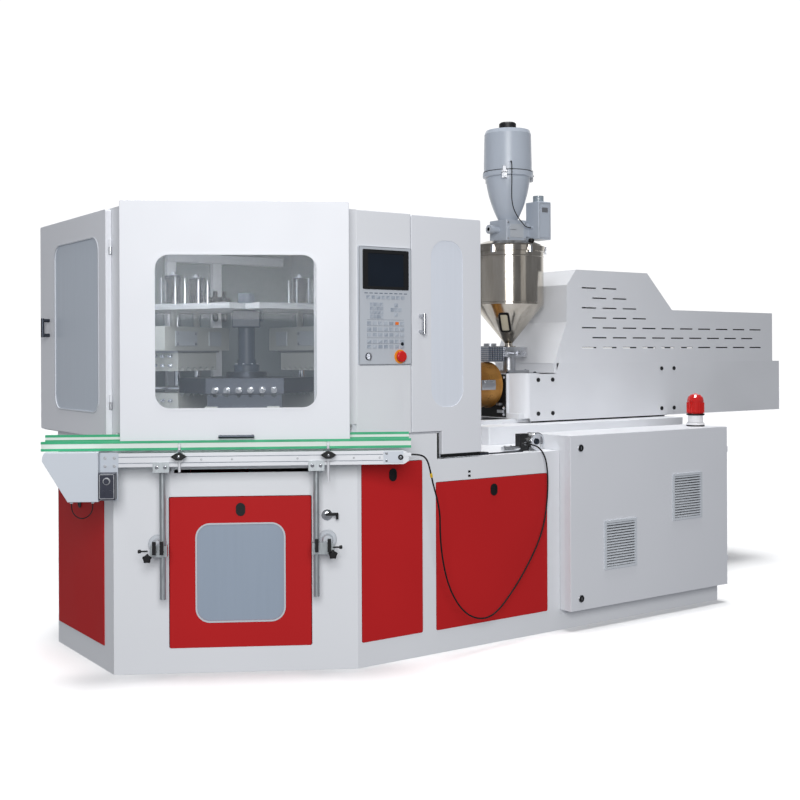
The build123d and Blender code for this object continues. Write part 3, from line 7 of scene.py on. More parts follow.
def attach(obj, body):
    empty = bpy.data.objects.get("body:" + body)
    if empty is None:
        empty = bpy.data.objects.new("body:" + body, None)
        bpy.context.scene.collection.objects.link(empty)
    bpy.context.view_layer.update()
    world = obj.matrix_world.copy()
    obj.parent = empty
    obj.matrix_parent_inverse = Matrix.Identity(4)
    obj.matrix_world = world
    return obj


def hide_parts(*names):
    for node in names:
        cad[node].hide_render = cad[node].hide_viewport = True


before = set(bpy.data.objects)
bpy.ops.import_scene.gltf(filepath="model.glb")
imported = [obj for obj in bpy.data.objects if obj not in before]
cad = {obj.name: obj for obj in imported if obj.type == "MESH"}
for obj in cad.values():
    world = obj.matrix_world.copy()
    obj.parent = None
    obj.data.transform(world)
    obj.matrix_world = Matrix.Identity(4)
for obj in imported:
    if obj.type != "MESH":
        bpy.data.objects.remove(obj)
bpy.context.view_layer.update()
FIXED = "machine_frame"     # the body that stands still

# directions and faces of the machine, in metres

X, Y, Z = Vector((1, 0, 0)), Vector((0, 1, 0)), Vector((0, 0, 1))
LEFT_REACH = 0.910      # head axis to the left end face
STRIP_REACH = 0.787     # head axis to the oblique operator face of the base
BARREL_Z = 1.303        # axis of barrel and screw
HOPPER_X = 1.868        # upright axis of throat, hopper and loader
BEACON_X, BEACON_Y = 2.590, -0.883
PANEL_Y = -0.966        # front of the operator's panel
STRIP_TURN = math.radians(30)       # of the oblique face to the machine's length
COS, SIN = math.cos(STRIP_TURN), math.sin(STRIP_TURN)
CORNER_Y = (STRIP_REACH - SIN * LEFT_REACH) / COS

# each set of axes: along a face, up it, out of it
STRIP_AXES = (Vector((COS, -SIN, 0)), Z, Vector((-SIN, -COS, 0)))
SIDE_AXES = (X, Z, -Y)
LEFT_AXES = (-Y, Z, -X)
LEVEL_AXES = (X, Y, Z)
ALONG, OUT = STRIP_AXES[0], STRIP_AXES[2]


def on_strip(u, z, t):
    """A point in the frame of the oblique operator face: along, up, out."""
    return Vector((-LEFT_REACH + u * COS - t * SIN, -CORNER_Y - u * SIN - t * COS, z))


def on_left(y, z, out):
    """A point off the left end face."""
    return Vector((-LEFT_REACH - out, y, z))


def spoke(degrees):
    """The level directions out from an upright axis and round it."""
    a = math.radians(degrees)
    return Vector((math.cos(a), math.sin(a), 0)), Vector((-math.sin(a), math.cos(a), 0))


# materials

class Look:
    """A principled material with the detail of its surface."""

    def __init__(self, name):
        self.material = bpy.data.materials.new(name)
        self.material.use_nodes = True
        self.tree = self.material.node_tree
        self.shader = self.tree.nodes["Principled BSDF"]
        self.coord = self.tree.nodes.new("ShaderNodeTexCoord").outputs["Object"]
        self.split = None

    def node(self, kind, **settings):
        made = self.tree.nodes.new(kind)
        for key, value in settings.items():
            setattr(made, key, value)
        return made

    def link(self, a, b):
        self.tree.links.new(a, b)

    def math(self, op, a, b=None):
        made = self.node("ShaderNodeMath", operation=op)
        for index, value in enumerate((a, b)):
            if value is None:
                continue
            if isinstance(value, (int, float)):
                made.inputs[index].default_value = value
            else:
                self.link(value, made.inputs[index])
        return made.outputs[0]

    def noise(self, scale, detail=3.0, stretch=None, rough=0.5):
        made = self.node("ShaderNodeTexNoise")
        made.inputs["Scale"].default_value = scale
        made.inputs["Detail"].default_value = detail
        made.inputs["Roughness"].default_value = rough
        source = self.coord
        if stretch:
            mapping = self.node("ShaderNodeMapping")
            mapping.inputs["Scale"].default_value = stretch
            self.link(source, mapping.inputs["Vector"])
            source = mapping.outputs[0]
        self.link(source, made.inputs["Vector"])
        return made.outputs["Fac"]

    def spread(self, fac, low, high, start=0.3, stop=0.7):
        """The middle of a noise, spread from low to high."""
        made = self.node("ShaderNodeMapRange")
        made.inputs["From Min"].default_value = start
        made.inputs["From Max"].default_value = stop
        made.inputs["To Min"].default_value = low
        made.inputs["To Max"].default_value = high
        self.link(fac, made.inputs["Value"])
        return made.outputs[0]

    def mix(self, fac, a, b):
        made = self.node("ShaderNodeMix", data_type="RGBA")
        colours = [s for s in made.inputs if s.type == "RGBA"]
        self.link(fac, made.inputs["Factor"])
        for socket, value in zip(colours, (a, b)):
            if isinstance(value, tuple):
                socket.default_value = (*value, 1.0)
            else:
                self.link(value, socket)
        return [s for s in made.outputs if s.type == "RGBA"][0]

    def between(self, axis, low, high):
        """One between two places on an axis of the part, zero elsewhere."""
        if self.split is None:
            made = self.node("ShaderNodeSeparateXYZ")
            self.link(self.coord, made.inputs[0])
            self.split = made.outputs
        value = self.split[axis]
        above, below = self.math("GREATER_THAN", value, low), self.math("LESS_THAN", value, high)
        return self.math("MULTIPLY", above, below)

    def inside(self, spans):
        """One inside a box of the part's frame. An axis without a span is open."""
        result = None
        for axis, span in enumerate(spans):
            if span is None:
                continue
            part = self.between(axis, *span)
            result = part if result is None else self.math("MULTIPLY", result, part)
        return result

    def bump(self, height, strength, distance=0.001):
        made = self.node("ShaderNodeBump")
        made.inputs["Strength"].default_value = strength
        made.inputs["Distance"].default_value = distance
        self.link(height, made.inputs["Height"])
        self.link(made.outputs[0], self.shader.inputs["Normal"])

    def set(self, **values):
        for key, value in values.items():
            socket = self.shader.inputs[key.replace("_", " ")]
            if isinstance(value, (int, float)):
                socket.default_value = value
            elif isinstance(value, tuple):
                socket.default_value = (*value, 1.0)
            else:
                self.link(value, socket)
        return self


def srgb(r, g, b):
    """A screen colour as linear light."""
    def linear(c):
        return c / 12.92 if c <= 0.04045 else ((c + 0.055) / 1.055) ** 2.4
    return tuple(linear(c / 255) for c in (r, g, b))


def shade(colour, factor):
    return tuple(min(1.0, c * factor) for c in colour)


PEEL, PEEL_DEPTH = 0.05, 0.0004     # orange peel of powder coat


def paint(name, colour, rough=0.42, drift=0.015):
    """Powder coat: slight drift of tone, fine orange peel and uneven gloss."""
    look = Look(name)
    broad = look.spread(look.noise(1.4, 2.0), 0, 1)
    look.set(Base_Color=look.mix(broad, shade(colour, 1 - drift), shade(colour, 1 + drift * 0.5)))
    look.set(Roughness=look.spread(look.noise(3.0, 2.0), rough - 0.02, rough + 0.03))
    look.bump(look.noise(900.0, 2.0), PEEL, PEEL_DEPTH)
    return look


def steel(name, colour, rough=0.28, stretch=(1, 1, 60), scale=8.0, metal=1.0):
    """Ground or drawn metal with a directional grain."""
    look = Look(name)
    grain = look.noise(scale, 6.0, stretch, 0.7)
    look.set(Base_Color=look.mix(look.spread(grain, 0, 1), shade(colour, 0.86), shade(colour, 1.06)))
    look.set(Metallic=metal, Roughness=look.spread(grain, rough - 0.07, rough + 0.12))
    look.bump(grain, 0.08, 0.0003)
    return look


def moulded(name, colour, rough=0.5, grainy=0.15):
    """Moulded plastic or rubber with a fine grain."""
    look = Look(name)
    fine = look.noise(650.0, 3.0)
    broad = look.spread(look.noise(9.0), 0, 1)
    look.set(Base_Color=look.mix(broad, shade(colour, 0.92), shade(colour, 1.08)))
    look.set(Roughness=look.spread(fine, rough - 0.06, rough + 0.08))
    look.bump(fine, grainy, 0.0005)
    return look


def sheet_glazing(name, colour, rough):
    """Tinted polycarbonate with faint vertical draw marks."""
    look = Look(name)
    marks = look.noise(5.0, 3.0, (9, 9, 0.5))
    look.set(Base_Color=look.mix(look.spread(marks, 0, 1), shade(colour, 0.985), shade(colour, 1.015)))
    look.set(Roughness=look.spread(look.noise(2.0, 2.0), rough, rough + 0.04))
    look.bump(look.noise(300.0, 2.0), 0.02, 0.0003)
    return look


def clear_glazing():
    """The lifting door's window, with a slight haze."""
    look = Look("clear_glazing")
    haze = look.spread(look.noise(1.6, 2.0), 0, 1)
    look.set(Base_Color=look.mix(haze, srgb(150, 160, 170), srgb(170, 178, 188)))
    look.set(Roughness=look.spread(look.noise(5.0, 4.0), 0.02, 0.05), Alpha=0.13, IOR=1.45)
    look.material.surface_render_method = "DITHERED"
    return look


def zone(xs, ys, zs, colour, rough=0.4, metal=0.0):
    """A box of the part's frame with a finish of its own, or with painted shade. None leaves an axis open."""
    return (xs, ys, zs), colour, rough, metal


def regions(name, base, zones, rough=0.34, metal=0.0, coat=0.0):
    """A finish with other colours inside boxes of the part's own frame."""
    look = Look(name)
    drift = look.spread(look.noise(1.4, 2.0), 0, 1)
    tone = look.mix(drift, shade(base, 0.98), shade(base, 1.01))
    uneven = look.spread(look.noise(3.0, 2.0), -0.02, 0.03)
    gloss, metallic = None, None
    for spans, colour, zone_rough, zone_metal in zones:
        mask = look.inside(spans)
        tone = look.mix(mask, tone, look.mix(drift, shade(colour, 0.93), shade(colour, 1.04)))
        step = look.math("MULTIPLY", mask, zone_rough - rough)
        gloss = step if gloss is None else look.math("ADD", gloss, step)
        if zone_metal != metal:
            step = look.math("MULTIPLY", mask, zone_metal - metal)
            metallic = step if metallic is None else look.math("ADD", metallic, step)
    look.set(Base_Color=tone, Coat_Weight=coat, Coat_Roughness=0.1)
    look.set(Roughness=look.math("ADD", look.math("ADD", uneven, gloss), rough))
    look.set(Metallic=metal if metallic is None else look.math("ADD", metallic, metal))
    look.bump(look.noise(850.0, 2.0), PEEL, PEEL_DEPTH)
    return look


def guide_rail():
    """A pale rail with its upper and lower plastic band in green."""
    look = Look("guide_rail_bands")
    lower, upper = look.between(2, 1.0735, 1.0945), look.between(2, 1.1068, 1.1185)
    green = look.mix(look.spread(look.noise(6.0), 0, 1), srgb(40, 160, 112), srgb(60, 182, 130))
    look.set(Base_Color=look.mix(look.math("MAXIMUM", lower, upper), green, srgb(224, 232, 226)))
    look.set(Roughness=look.spread(look.noise(30.0, 4.0, (1, 1, 8)), 0.28, 0.42), Coat_Weight=0.2)
    look.bump(look.noise(40.0, 4.0, (1, 1, 20)), 0.08, 0.0004)
    return look


def belt_cover():
    look = Look("belt_cover")
    weave = look.noise(520.0, 2.0, (1, 1, 0.4))
    look.set(Base_Color=look.mix(look.spread(weave, 0, 1), srgb(14, 88, 66), srgb(24, 112, 86)))
    look.set(Roughness=look.spread(weave, 0.48, 0.66))
    look.bump(weave, 0.3, 0.0006)
    return look


def key_caps():
    """Keys of slightly different greys, one tone to each."""
    look = Look("key_caps")
    island = look.node("ShaderNodeNewGeometry").outputs["Random Per Island"]
    tone = look.spread(island, 0, 1, 0.0, 1.0)
    look.set(Base_Color=look.mix(tone, srgb(146, 155, 168), srgb(186, 193, 202)))
    look.set(Roughness=look.spread(look.noise(300.0), 0.4, 0.52))
    look.bump(look.noise(700.0), 0.1, 0.0003)
    return look


def dark_display():
    look = Look("dark_display")
    look.set(Base_Color=look.mix(look.spread(look.noise(3.0), 0, 1), srgb(10, 18, 28), srgb(16, 27, 40)))
    look.set(Roughness=look.spread(look.noise(12.0), 0.3, 0.36), Specular_IOR_Level=0.3)
    return look


def heat_tinted_brass():
    look = Look("heat_tinted_brass")
    bands = look.spread(look.noise(3.0, 4.0, (1.6, 0.4, 0.4)), 0, 1)
    look.set(Base_Color=look.mix(bands, srgb(132, 88, 38), srgb(182, 132, 66)), Metallic=0.65)
    look.set(Roughness=look.spread(look.noise(20.0, 5.0), 0.24, 0.42))
    look.bump(look.noise(90.0, 4.0, (8, 1, 1)), 0.08, 0.0005)
    return look


def polished_stainless():
    look = Look("polished_stainless")
    # vertical streaks and a warm tint in the base colour: partly rolling grain, partly painted reflection
    grain_and_reflection = look.noise(7.0, 5.0, (1, 1, 0.15), 0.6)
    look.set(Base_Color=look.mix(look.spread(grain_and_reflection, 0, 1), srgb(150, 143, 132), srgb(206, 200, 190)))
    look.set(Metallic=1.0, Roughness=look.spread(grain_and_reflection, 0.1, 0.2))
    look.bump(look.noise(4.0, 3.0, (1, 1, 0.3)), 0.12, 0.004)
    return look


WHITE = srgb(227, 229, 233)
BLACK = srgb(17, 18, 20)
VENT = srgb(206, 211, 217)
LOADER = srgb(186, 194, 205)
# grey of painted shade on the guard's white inner walls
SHADED_WALL = srgb(138, 145, 147)

# spans of the zones that carry a colour of their own, and of the zones of painted shade inside the vent cover
# and on the guard's inner walls
panel_front = (-1.0, -0.9662)
vent_front = (-1.05, -1.0)
lock_front = (-1.05, -1.0373)
# inside the vent cover's skin, where black paints the shade behind the slots
vent_cover_inside = (-0.28495, 0.28495)
skirt_sides = (-0.28502, 0.28502)
guard_inside_height = (1.1, 2.182)

looks = {
    "white": paint("powder_white", WHITE),
    "door": paint("powder_door", srgb(226, 228, 233)),
    "red": paint("powder_red", srgb(188, 36, 38), rough=0.55, drift=0.05).set(Specular_IOR_Level=0.08),
    "pale_grey": paint("enamel_pale", srgb(196, 201, 207), rough=0.34),
    "drive_cover": paint("drive_cover_grey", srgb(203, 209, 217), rough=0.36),
    "slate": paint("slate_paint", srgb(92, 104, 122), rough=0.38),
    "platen": paint("platen_paint", srgb(200, 202, 198), rough=0.4),
    "hub": paint("hub_slate", srgb(52, 62, 75), rough=0.36),
    "black": moulded("black_plastic", srgb(24, 24, 26), 0.42).set(Specular_IOR_Level=0.25),
    "rubber": moulded("black_rubber", srgb(18, 18, 19), 0.55, 0.25).set(Specular_IOR_Level=0.25),
    "navy": moulded("navy_box", srgb(38, 42, 58), 0.35),
    "yellow": moulded("yellow_plastic", srgb(226, 186, 30), 0.38),
    "orange": moulded("orange_plastic", srgb(240, 120, 30), 0.35),
    "lens": moulded("red_lens", srgb(214, 34, 28), 0.14, 0.02),
    "amber": moulded("sight_glass", srgb(186, 180, 160), 0.14, 0.02),
    "estop": moulded("stop_red", srgb(206, 26, 22), 0.3, 0.05),
    "zinc": steel("zinc_plate", srgb(186, 188, 192), 0.34, (1, 1, 8), 30.0),
    "steel": steel("ground_steel", srgb(196, 198, 203), 0.26, (1, 30, 1), 12.0),
    "chrome": steel("hard_chrome", srgb(226, 228, 232), 0.09, (1, 1, 40), 6.0),
    "dark_steel": steel("dark_steel", srgb(70, 74, 82), 0.36, (4, 4, 4), 20.0),
    "post": steel("post_steel", srgb(180, 186, 189), 0.34, (8, 8, 1), 20.0, 0.75),
    "glass": clear_glazing(),
    "blue_sheet": sheet_glazing("tinted_sheet", srgb(190, 199, 210), 0.3),
    "low_sheet": sheet_glazing("tinted_low_sheet", srgb(152, 165, 181), 0.3),
    "pale_sheet": sheet_glazing("frosted_sheet", srgb(222, 227, 236), 0.4),
    "rail": guide_rail(),
    "belt": belt_cover(),
    "keys": key_caps(),
    "screen": dark_display(),
    "heat": heat_tinted_brass(),
    "hopper": polished_stainless(),
    "beacon": regions("beacon_dome", srgb(196, 22, 20), [
        zone(None, None, (1.0, 1.118), srgb(232, 232, 234), 0.35),
        zone(None, None, (1.118, 1.128), BLACK, 0.4)], 0.12, coat=0.6),
    "operator": regions("operator_panel", srgb(190, 195, 202), [
        zone((0.1095, 0.3795), panel_front, (1.8085, 2.0005), BLACK, 0.2),
        zone((0.29, 0.366), panel_front, (1.447, 1.523), srgb(240, 150, 40), 0.35)], 0.4),
    "cabinet": regions("vented_door", srgb(224, 226, 231), [
        zone((1.6505, 1.9035), vent_front, (0.3075, 0.5765), VENT, 0.4),
        zone((2.2035, 2.4565), vent_front, (0.5295, 0.7985), VENT, 0.4),
        zone((1.4565, 1.4915), lock_front, (0.15, 1.01), BLACK, 0.3)], 0.36),
    "loader": regions("loader_enamel", LOADER, [zone(None, None, (2.9095, 3.0), BLACK, 0.45)], 0.3),
    "loader_box": regions("loader_box_enamel", LOADER, [
        zone((1.99, 2.07), (-0.15, -0.06), (2.454, 2.5), srgb(150, 160, 168), 0.15)], 0.3),
    "head": regions("press_head_paint", srgb(176, 180, 184), [
        zone(None, None, (1.7676, 2.0), srgb(34, 38, 44), 0.3)], 0.36),
    "frame_rail": regions("conveyor_profile", srgb(222, 224, 228), [
        zone((-2.0, -0.9455), None, None, srgb(196, 203, 212), 0.36)], 0.32, 0.25),
    "skirt": regions("skirt_white", BLACK, [zone(None, skirt_sides, None, WHITE, 0.34)], 0.4),
    # the inside of the vent cover and the walls of its slots are black: painted shade, so that the slots read
    # dark
    "vent": regions("vent_cover_white", WHITE, [
        zone((2.19, 2.829), vent_cover_inside, (1.49, 2.0215), BLACK, 0.42),
        zone((2.11, 4.1435), vent_cover_inside, (1.49, 1.7785), BLACK, 0.42)], 0.42),
    "guard": regions("guard_white", WHITE, [
        # the guard's rear and right inner walls carry painted shade, grey in place of their white
        zone((-0.289, 0.84), (0.9, 0.945), guard_inside_height, SHADED_WALL, 0.45),
        zone((0.80, 0.8465), (-0.9, 0.945), guard_inside_height, SHADED_WALL, 0.45)], 0.42),
    "lamp": regions("lamp_body", srgb(226, 228, 230), [
        zone((1.196, 1.264), (-0.8585, -0.8215), (0.96, 1.064), BLACK, 0.45, 0.0)], 0.1, 1.0),
}

nodes_of = {
    "white": ("base_cabinet", "electrical_cabinet", "control_cover", "slide_base", "injection_carriage"),
    "door": ("left_door", "strip_door", "right_door"),
    "red": ("strip_base_door", "access_panels"),
    "platen": ("press_bed", "lower_moulds", "injection_clamp", "blow_clamp"),
    "black": ("panel_latches", "clamp_knobs"),
    "steel": ("right_door_handle", "mode_selector", "shutoff_slide"),
    "dark_steel": ("left_door_handle", "strip_door_handle", "turret_head", "stripper"),
    "chrome": ("press_columns", "core_rods", "injection_screw"),
    "zinc": ("door_hinges", "drive_roller", "idler_roller", "injection_barrel", "hopper_throat"),
    "glass": ("strip_door_window",), "blue_sheet": ("left_door_window",),
    "low_sheet": ("strip_base_window",), "pale_sheet": ("right_door_window",),
    "cabinet": ("cabinet_door",), "beacon": ("beacon",), "guard": ("enclosure_frame",),
    "operator": ("control_panel",), "screen": ("control_screen",), "keys": ("control_keys",),
    "estop": ("estop_button",), "head": ("press_head",), "hub": ("index_column",),
    "frame_rail": ("conveyor_frame",), "belt": ("conveyor_belt",), "rail": ("guide_rails",),
    "drive_cover": ("conveyor_drive_cover",), "navy": ("conveyor_control_box",), "post": ("conveyor_posts",),
    "heat": ("heater_cover",), "hopper": ("hopper",), "loader": ("loader_body",),
    "loader_box": ("loader_control_box",), "skirt": ("side_skirt",), "vent": ("vent_cover",),
    "lamp": ("work_lamp",),
}
for finish, nodes in nodes_of.items():
    for node in nodes:
        mesh = cad[node].data
        mesh.materials.clear()
        mesh.materials.append(looks[finish].material)
        for polygon in mesh.polygons:
            polygon.material_index = 0


# forms that pieces are made of: each returns the function that adds it to a mesh

def box(centre, axes, size):
    """A box about a centre, with its own axes."""
    def build(shape):
        halves, corners = (-0.5, 0.5), []
        for shares in [(i, j, k) for i in halves for j in halves for k in halves]:
            spot = Vector(centre)
            for axis, length, share in zip(axes, size, shares):
                spot = spot + axis * length * share
            corners.append(shape.verts.new(spot))
        for face in ((0, 1, 3, 2), (4, 6, 7, 5), (0, 4, 5, 1), (2, 3, 7, 6), (0, 2, 6, 4), (1, 5, 7, 3)):
            shape.faces.new([corners[n] for n in face])
    return build


def turned(foot, way, radii, segments=24):
    """A turned piece from a foot point: pairs of height and radius along its way."""
    def build(shape):
        axis = Vector(way).normalized()
        side = axis.orthogonal().normalized()
        other = axis.cross(side)
        rings = []
        for height, radius in radii:
            ring = []
            for n in range(segments):
                angle = 2 * math.pi * n / segments
                ring.append(shape.verts.new(Vector(foot) + axis * height + side * radius * math.cos(angle)
                                            + other * radius * math.sin(angle)))
            rings.append(ring)
        for a, b in zip(rings, rings[1:]):
            for n in range(segments):
                m = (n + 1) % segments
                shape.faces.new((a[n], a[m], b[m], b[n]))
        shape.faces.new(list(reversed(rings[0])))
        shape.faces.new(rings[-1])
    return build


def bolt(foot, way, radius, height):
    """A domed head on a thin washer."""
    washer = radius * 1.35
    return turned(foot, way, [(0, washer), (height * 0.2, washer), (height * 0.2, radius),
                              (height * 0.75, radius), (height, radius * 0.7)], 12)


def ring_frame(origin, axes, xs, ys, radius, width, thick, segments=8):
    """A flat frame with round corners, standing on a plane."""
    def outline(grow):
        points = []
        r = max(radius + grow, 0.0005)
        x0, x1, y0, y1 = xs[0] - grow, xs[1] + grow, ys[0] - grow, ys[1] + grow
        corners = ((x1 - r, y1 - r, 0), (x0 + r, y1 - r, 90), (x0 + r, y0 + r, 180), (x1 - r, y0 + r, 270))
        for cx, cy, start in corners:
            for n in range(segments + 1):
                angle = math.radians(start + 90 * n / segments)
                points.append((cx + r * math.cos(angle), cy + r * math.sin(angle)))
        return points

    def build(shape):
        loops = []
        for grow, lift in ((0, 0), (0, thick), (width, thick), (width, 0)):
            loops.append([shape.verts.new(Vector(origin) + axes[0] * x + axes[1] * y + axes[2] * lift)
                          for x, y in outline(grow)])
        count = len(loops[0])
        for one, two in zip(loops, loops[1:] + loops[:1]):
            for n in range(count):
                m = (n + 1) % count
                shape.faces.new((one[n], one[m], two[m], two[n]))
    return build


def curved_plate(xs, radii, arc, rows):
    """A plate bent round the barrel's axis."""
    def build(shape):
        ring = []
        for radius in radii:
            for n in range(rows + 1):
                a = math.radians(arc[0] + (arc[1] - arc[0]) * n / rows)
                y, z = radius * math.sin(a), BARREL_Z + radius * math.cos(a)
                ring.append([shape.verts.new((x, y, z)) for x in xs])
        for n in range(rows):
            for base in (0, rows + 1):
                one, two = ring[base + n], ring[base + n + 1]
                shape.faces.new((one[0], one[1], two[1], two[0]))
        for side in (0, 1):
            for n in range(rows):
                shape.faces.new([ring[k][side] for k in (n, n + 1, rows + 2 + n, rows + 1 + n)])
        for n in (0, rows):
            shape.faces.new((ring[n][0], ring[n][1], ring[rows + 1 + n][1], ring[rows + 1 + n][0]))
    return build


def quarter_nose(corner, reach, zs, steps=12):
    """An upright quarter of an oval about a corner."""
    def build(shape):
        columns = []
        for n in range(steps + 1):
            a = math.radians(90) * n / steps
            x, y = corner[0] - reach[0] * math.cos(a), corner[1] - reach[1] * math.sin(a)
            columns.append([shape.verts.new((x, y, z)) for z in zs])
        columns.append([shape.verts.new((*corner, z)) for z in zs])
        for left, right in zip(columns, columns[1:] + columns[:1]):
            shape.faces.new((left[0], right[0], right[1], left[1]))
        for row in (0, 1):
            shape.faces.new([column[row] for column in columns])
    return build


def piece(name, body, finish, forms, smooth=False, bevel=0.0):
    """Joins forms to one piece that rides on a body."""
    shape = bmesh.new()
    for build in forms:
        build(shape)
    mesh = bpy.data.meshes.new(name)
    bmesh.ops.recalc_face_normals(shape, faces=shape.faces)
    shape.to_mesh(mesh)
    shape.free()
    made = bpy.data.objects.new(name, mesh)
    bpy.context.scene.collection.objects.link(made)
    mesh.materials.append(looks[finish].material)
    if smooth:
        for polygon in mesh.polygons:
            polygon.use_smooth = True
    if bevel:
        rounding = made.modifiers.new("edges", "BEVEL")
        rounding.width = bevel
        rounding.segments = 2
        rounding.limit_method = "ANGLE"
    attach(made, body)


def bolts(name, spots, way, radius, height, body, finish="zinc"):
    piece(name, body, finish, [bolt(spot, way, radius, height) for spot in spots])


# cables on the routes of the model

conveyor_route = [
    (0.2172, -1.2050, 1.0300), (0.2561, -1.2275, 1.0300), (0.291, -1.232, 1.006), (0.323, -1.214, 0.945),
    (0.355, -1.194, 0.876), (0.393, -1.173, 0.809), (0.422, -1.158, 0.730), (0.435, -1.141, 0.643),
    (0.453, -1.126, 0.558), (0.478, -1.111, 0.476), (0.509, -1.098, 0.395), (0.551, -1.085, 0.320),
    (0.605, -1.072, 0.251), (0.670, -1.059, 0.196), (0.751, -1.046, 0.162), (0.836, -1.035, 0.158),
    (0.914, -1.028, 0.196), (0.983, -1.022, 0.255), (1.045, -1.018, 0.314), (1.103, -1.013, 0.380),
    (1.159, -1.009, 0.450), (1.206, -1.006, 0.525), (1.239, -1.004, 0.605), (1.256, -1.003, 0.688),
    (1.266, -1.002, 0.776), (1.267, -1.000, 0.863), (1.261, -0.992, 0.942), (1.243, -0.964, 0.996),
    (1.228, -0.915, 1.010), (1.228, -0.868, 1.010),
]
drive_route = [
    (-1.1371, -0.4566, 0.828), (-1.1371, -0.4566, 0.796), (-1.1206, -0.4661, 0.768),
    (-1.0959, -0.4804, 0.757), (-1.0712, -0.4946, 0.768), (-1.0548, -0.5041, 0.796),
    (-1.0548, -0.5041, 0.828),
]
loader_route = [
    (1.7754, -0.1342, 2.689), (1.7544, -0.1646, 2.689), (1.742, -0.183, 2.657), (1.7405, -0.184, 2.610),
    (1.743, -0.181, 2.560), (1.747, -0.175, 2.500), (1.752, -0.169, 2.447), (1.768, -0.164, 2.398),
    (1.800, -0.155, 2.358), (1.842, -0.142, 2.328), (1.888, -0.124, 2.305), (1.928, -0.105, 2.290),
    (1.968, -0.105, 2.290),
]


def cable(name, node, route, thick, body):
    """A round cord along a smooth line, in place of the model's own."""
    curve = bpy.data.curves.new(name, "CURVE")
    curve.dimensions = "3D"
    spline = curve.splines.new("NURBS")
    spline.points.add(len(route) - 1)
    for target, point in zip(spline.points, route):
        target.co = (*point, 1.0)
    spline.order_u = 3
    spline.use_endpoint_u = True
    curve.bevel_depth = thick / 2
    curve.bevel_resolution = 5
    curve.use_fill_caps = True
    curve.resolution_u = 8
    lead = bpy.data.objects.new(name, curve)
    bpy.context.scene.collection.objects.link(lead)
    curve.materials.append(looks["rubber"].material)
    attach(lead, body)
    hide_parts(node)


cable("conveyor_lead", "conveyor_cable", conveyor_route, thick=0.008, body=FIXED)
cable("drive_lead", "drive_cable", drive_route, thick=0.005, body=FIXED)
cable("loader_lead", "loader_cable", loader_route, thick=0.006, body="carriage")


def window_trims():
    piece("lifting_window_trim", "lifting_leaf", "door", [
        ring_frame(on_strip(0, 0, 0.130), STRIP_AXES, (0.211, 0.951), (1.252, 1.958), 0.065, 0.009, 0.003)])
    piece("base_window_trim", FIXED, "pale_grey", [
        ring_frame(on_strip(0, 0, 0.003), STRIP_AXES, (0.388, 0.795), (0.243, 0.696), 0.060, 0.008, 0.003)])
    piece("left_window_trim", "left_leaf", "pale_grey", [
        ring_frame(on_left(0, 0, 0.030), LEFT_AXES, (-0.331, 0.279), (1.226, 2.058), 0.070, 0.006, 0.003)])


# press inside the guard

def nipples(spots, way, radius=0.007, length=0.03):
    """Hose tails with a hexagon and two barbs."""
    hexagon, barb, waist = radius * 1.5, radius, radius * 0.7
    forms = []
    for spot in spots:
        forms.append(turned(spot, way, [(0, hexagon), (length * 0.3, hexagon)], 6))
        forms.append(turned(Vector(spot) + Vector(way) * length * 0.3, way, [
            (0, radius * 0.8), (length * 0.2, barb), (length * 0.22, waist), (length * 0.45, barb),
            (length * 0.47, waist), (length * 0.7, radius * 0.75)], 12))
    return forms


def press_station(tag, turn, body, side):
    """Trims of one moulding station: hose tails, cover plates, clamp strip and cylinder rods."""
    way, across = spoke(turn)
    face = across * side

    def at(r, a, z):
        return way * r + across * a + Z * z

    def tail_rows(heights, first=0.36, pitch=0.05, mould_side=0.185):
        """Four hose tails in a row on each of the mould's levels."""
        return [form for z in heights
                for form in nipples([at(first + pitch * k, side * mould_side, z) for k in range(4)], face)]

    platen_side, platen_nose, platen_z = 0.31, 0.312, 1.585
    plate, plate_a, bolt_rise = 0.007, side * 0.12, 0.028
    platen_tails = nipples([at(r, side * platen_side, 1.56) for r in (0.60, 0.64)], face, 0.009, 0.04)
    piece(tag + "_upper_nipples", body, "chrome", tail_rows((1.44, 1.49)) + platen_tails)
    piece(tag + "_lower_nipples", FIXED, "chrome", tail_rows((1.20, 1.25)))
    nose = platen_nose - plate / 2
    piece(tag + "_platen_plates", body, "pale_grey", [
        box(at(0.47, side * (platen_side + plate / 2), platen_z), (way, Z, face), (0.17, 0.085, plate)),
        box(at(nose, plate_a, platen_z), (across, Z, way), (0.20, 0.08, plate)),
        box(at(nose, -side * 0.16, platen_z), (across, Z, way), (0.12, 0.08, plate))], bevel=0.0015)
    rows = (platen_z - bolt_rise, platen_z + bolt_rise)
    outer = [at(r, side * (platen_side + plate), z) for r in (0.40, 0.54) for z in rows]
    inner = [at(platen_nose - plate, plate_a + a, z) for a in (-0.085, 0.085) for z in rows]
    bolts(tag + "_platen_bolts", outer, face, 0.006, 0.006, body)
    bolts(tag + "_inner_bolts", inner, -way, 0.006, 0.006, body)
    piece(tag + "_mould_clamp_strip", body, "zinc", [
        box(at(0.4215, 0, 1.5145), (way, across, Z), (0.225, 0.40, 0.011))], bevel=0.001)
    piston_r, piston_a, tie_offset = 0.4, 0.11, 0.045
    tie_rod = [(0, 0.005), (0.152, 0.005)]
    gland = [(0, 0.032), (0.006, 0.032), (0.006, 0.014), (0.02, 0.014)]
    rods = []
    for a in (-piston_a, piston_a):
        for i, j in ((-1, -1), (-1, 1), (1, -1), (1, 1)):
            rods.append(turned(at(piston_r + tie_offset * i, a + tie_offset * j, 1.767), Z, tie_rod, 10))
        rods.append(turned(at(piston_r, a, 1.9302), Z, gland, 20))
    piece(tag + "_cylinder_rods", FIXED, "chrome", rods)


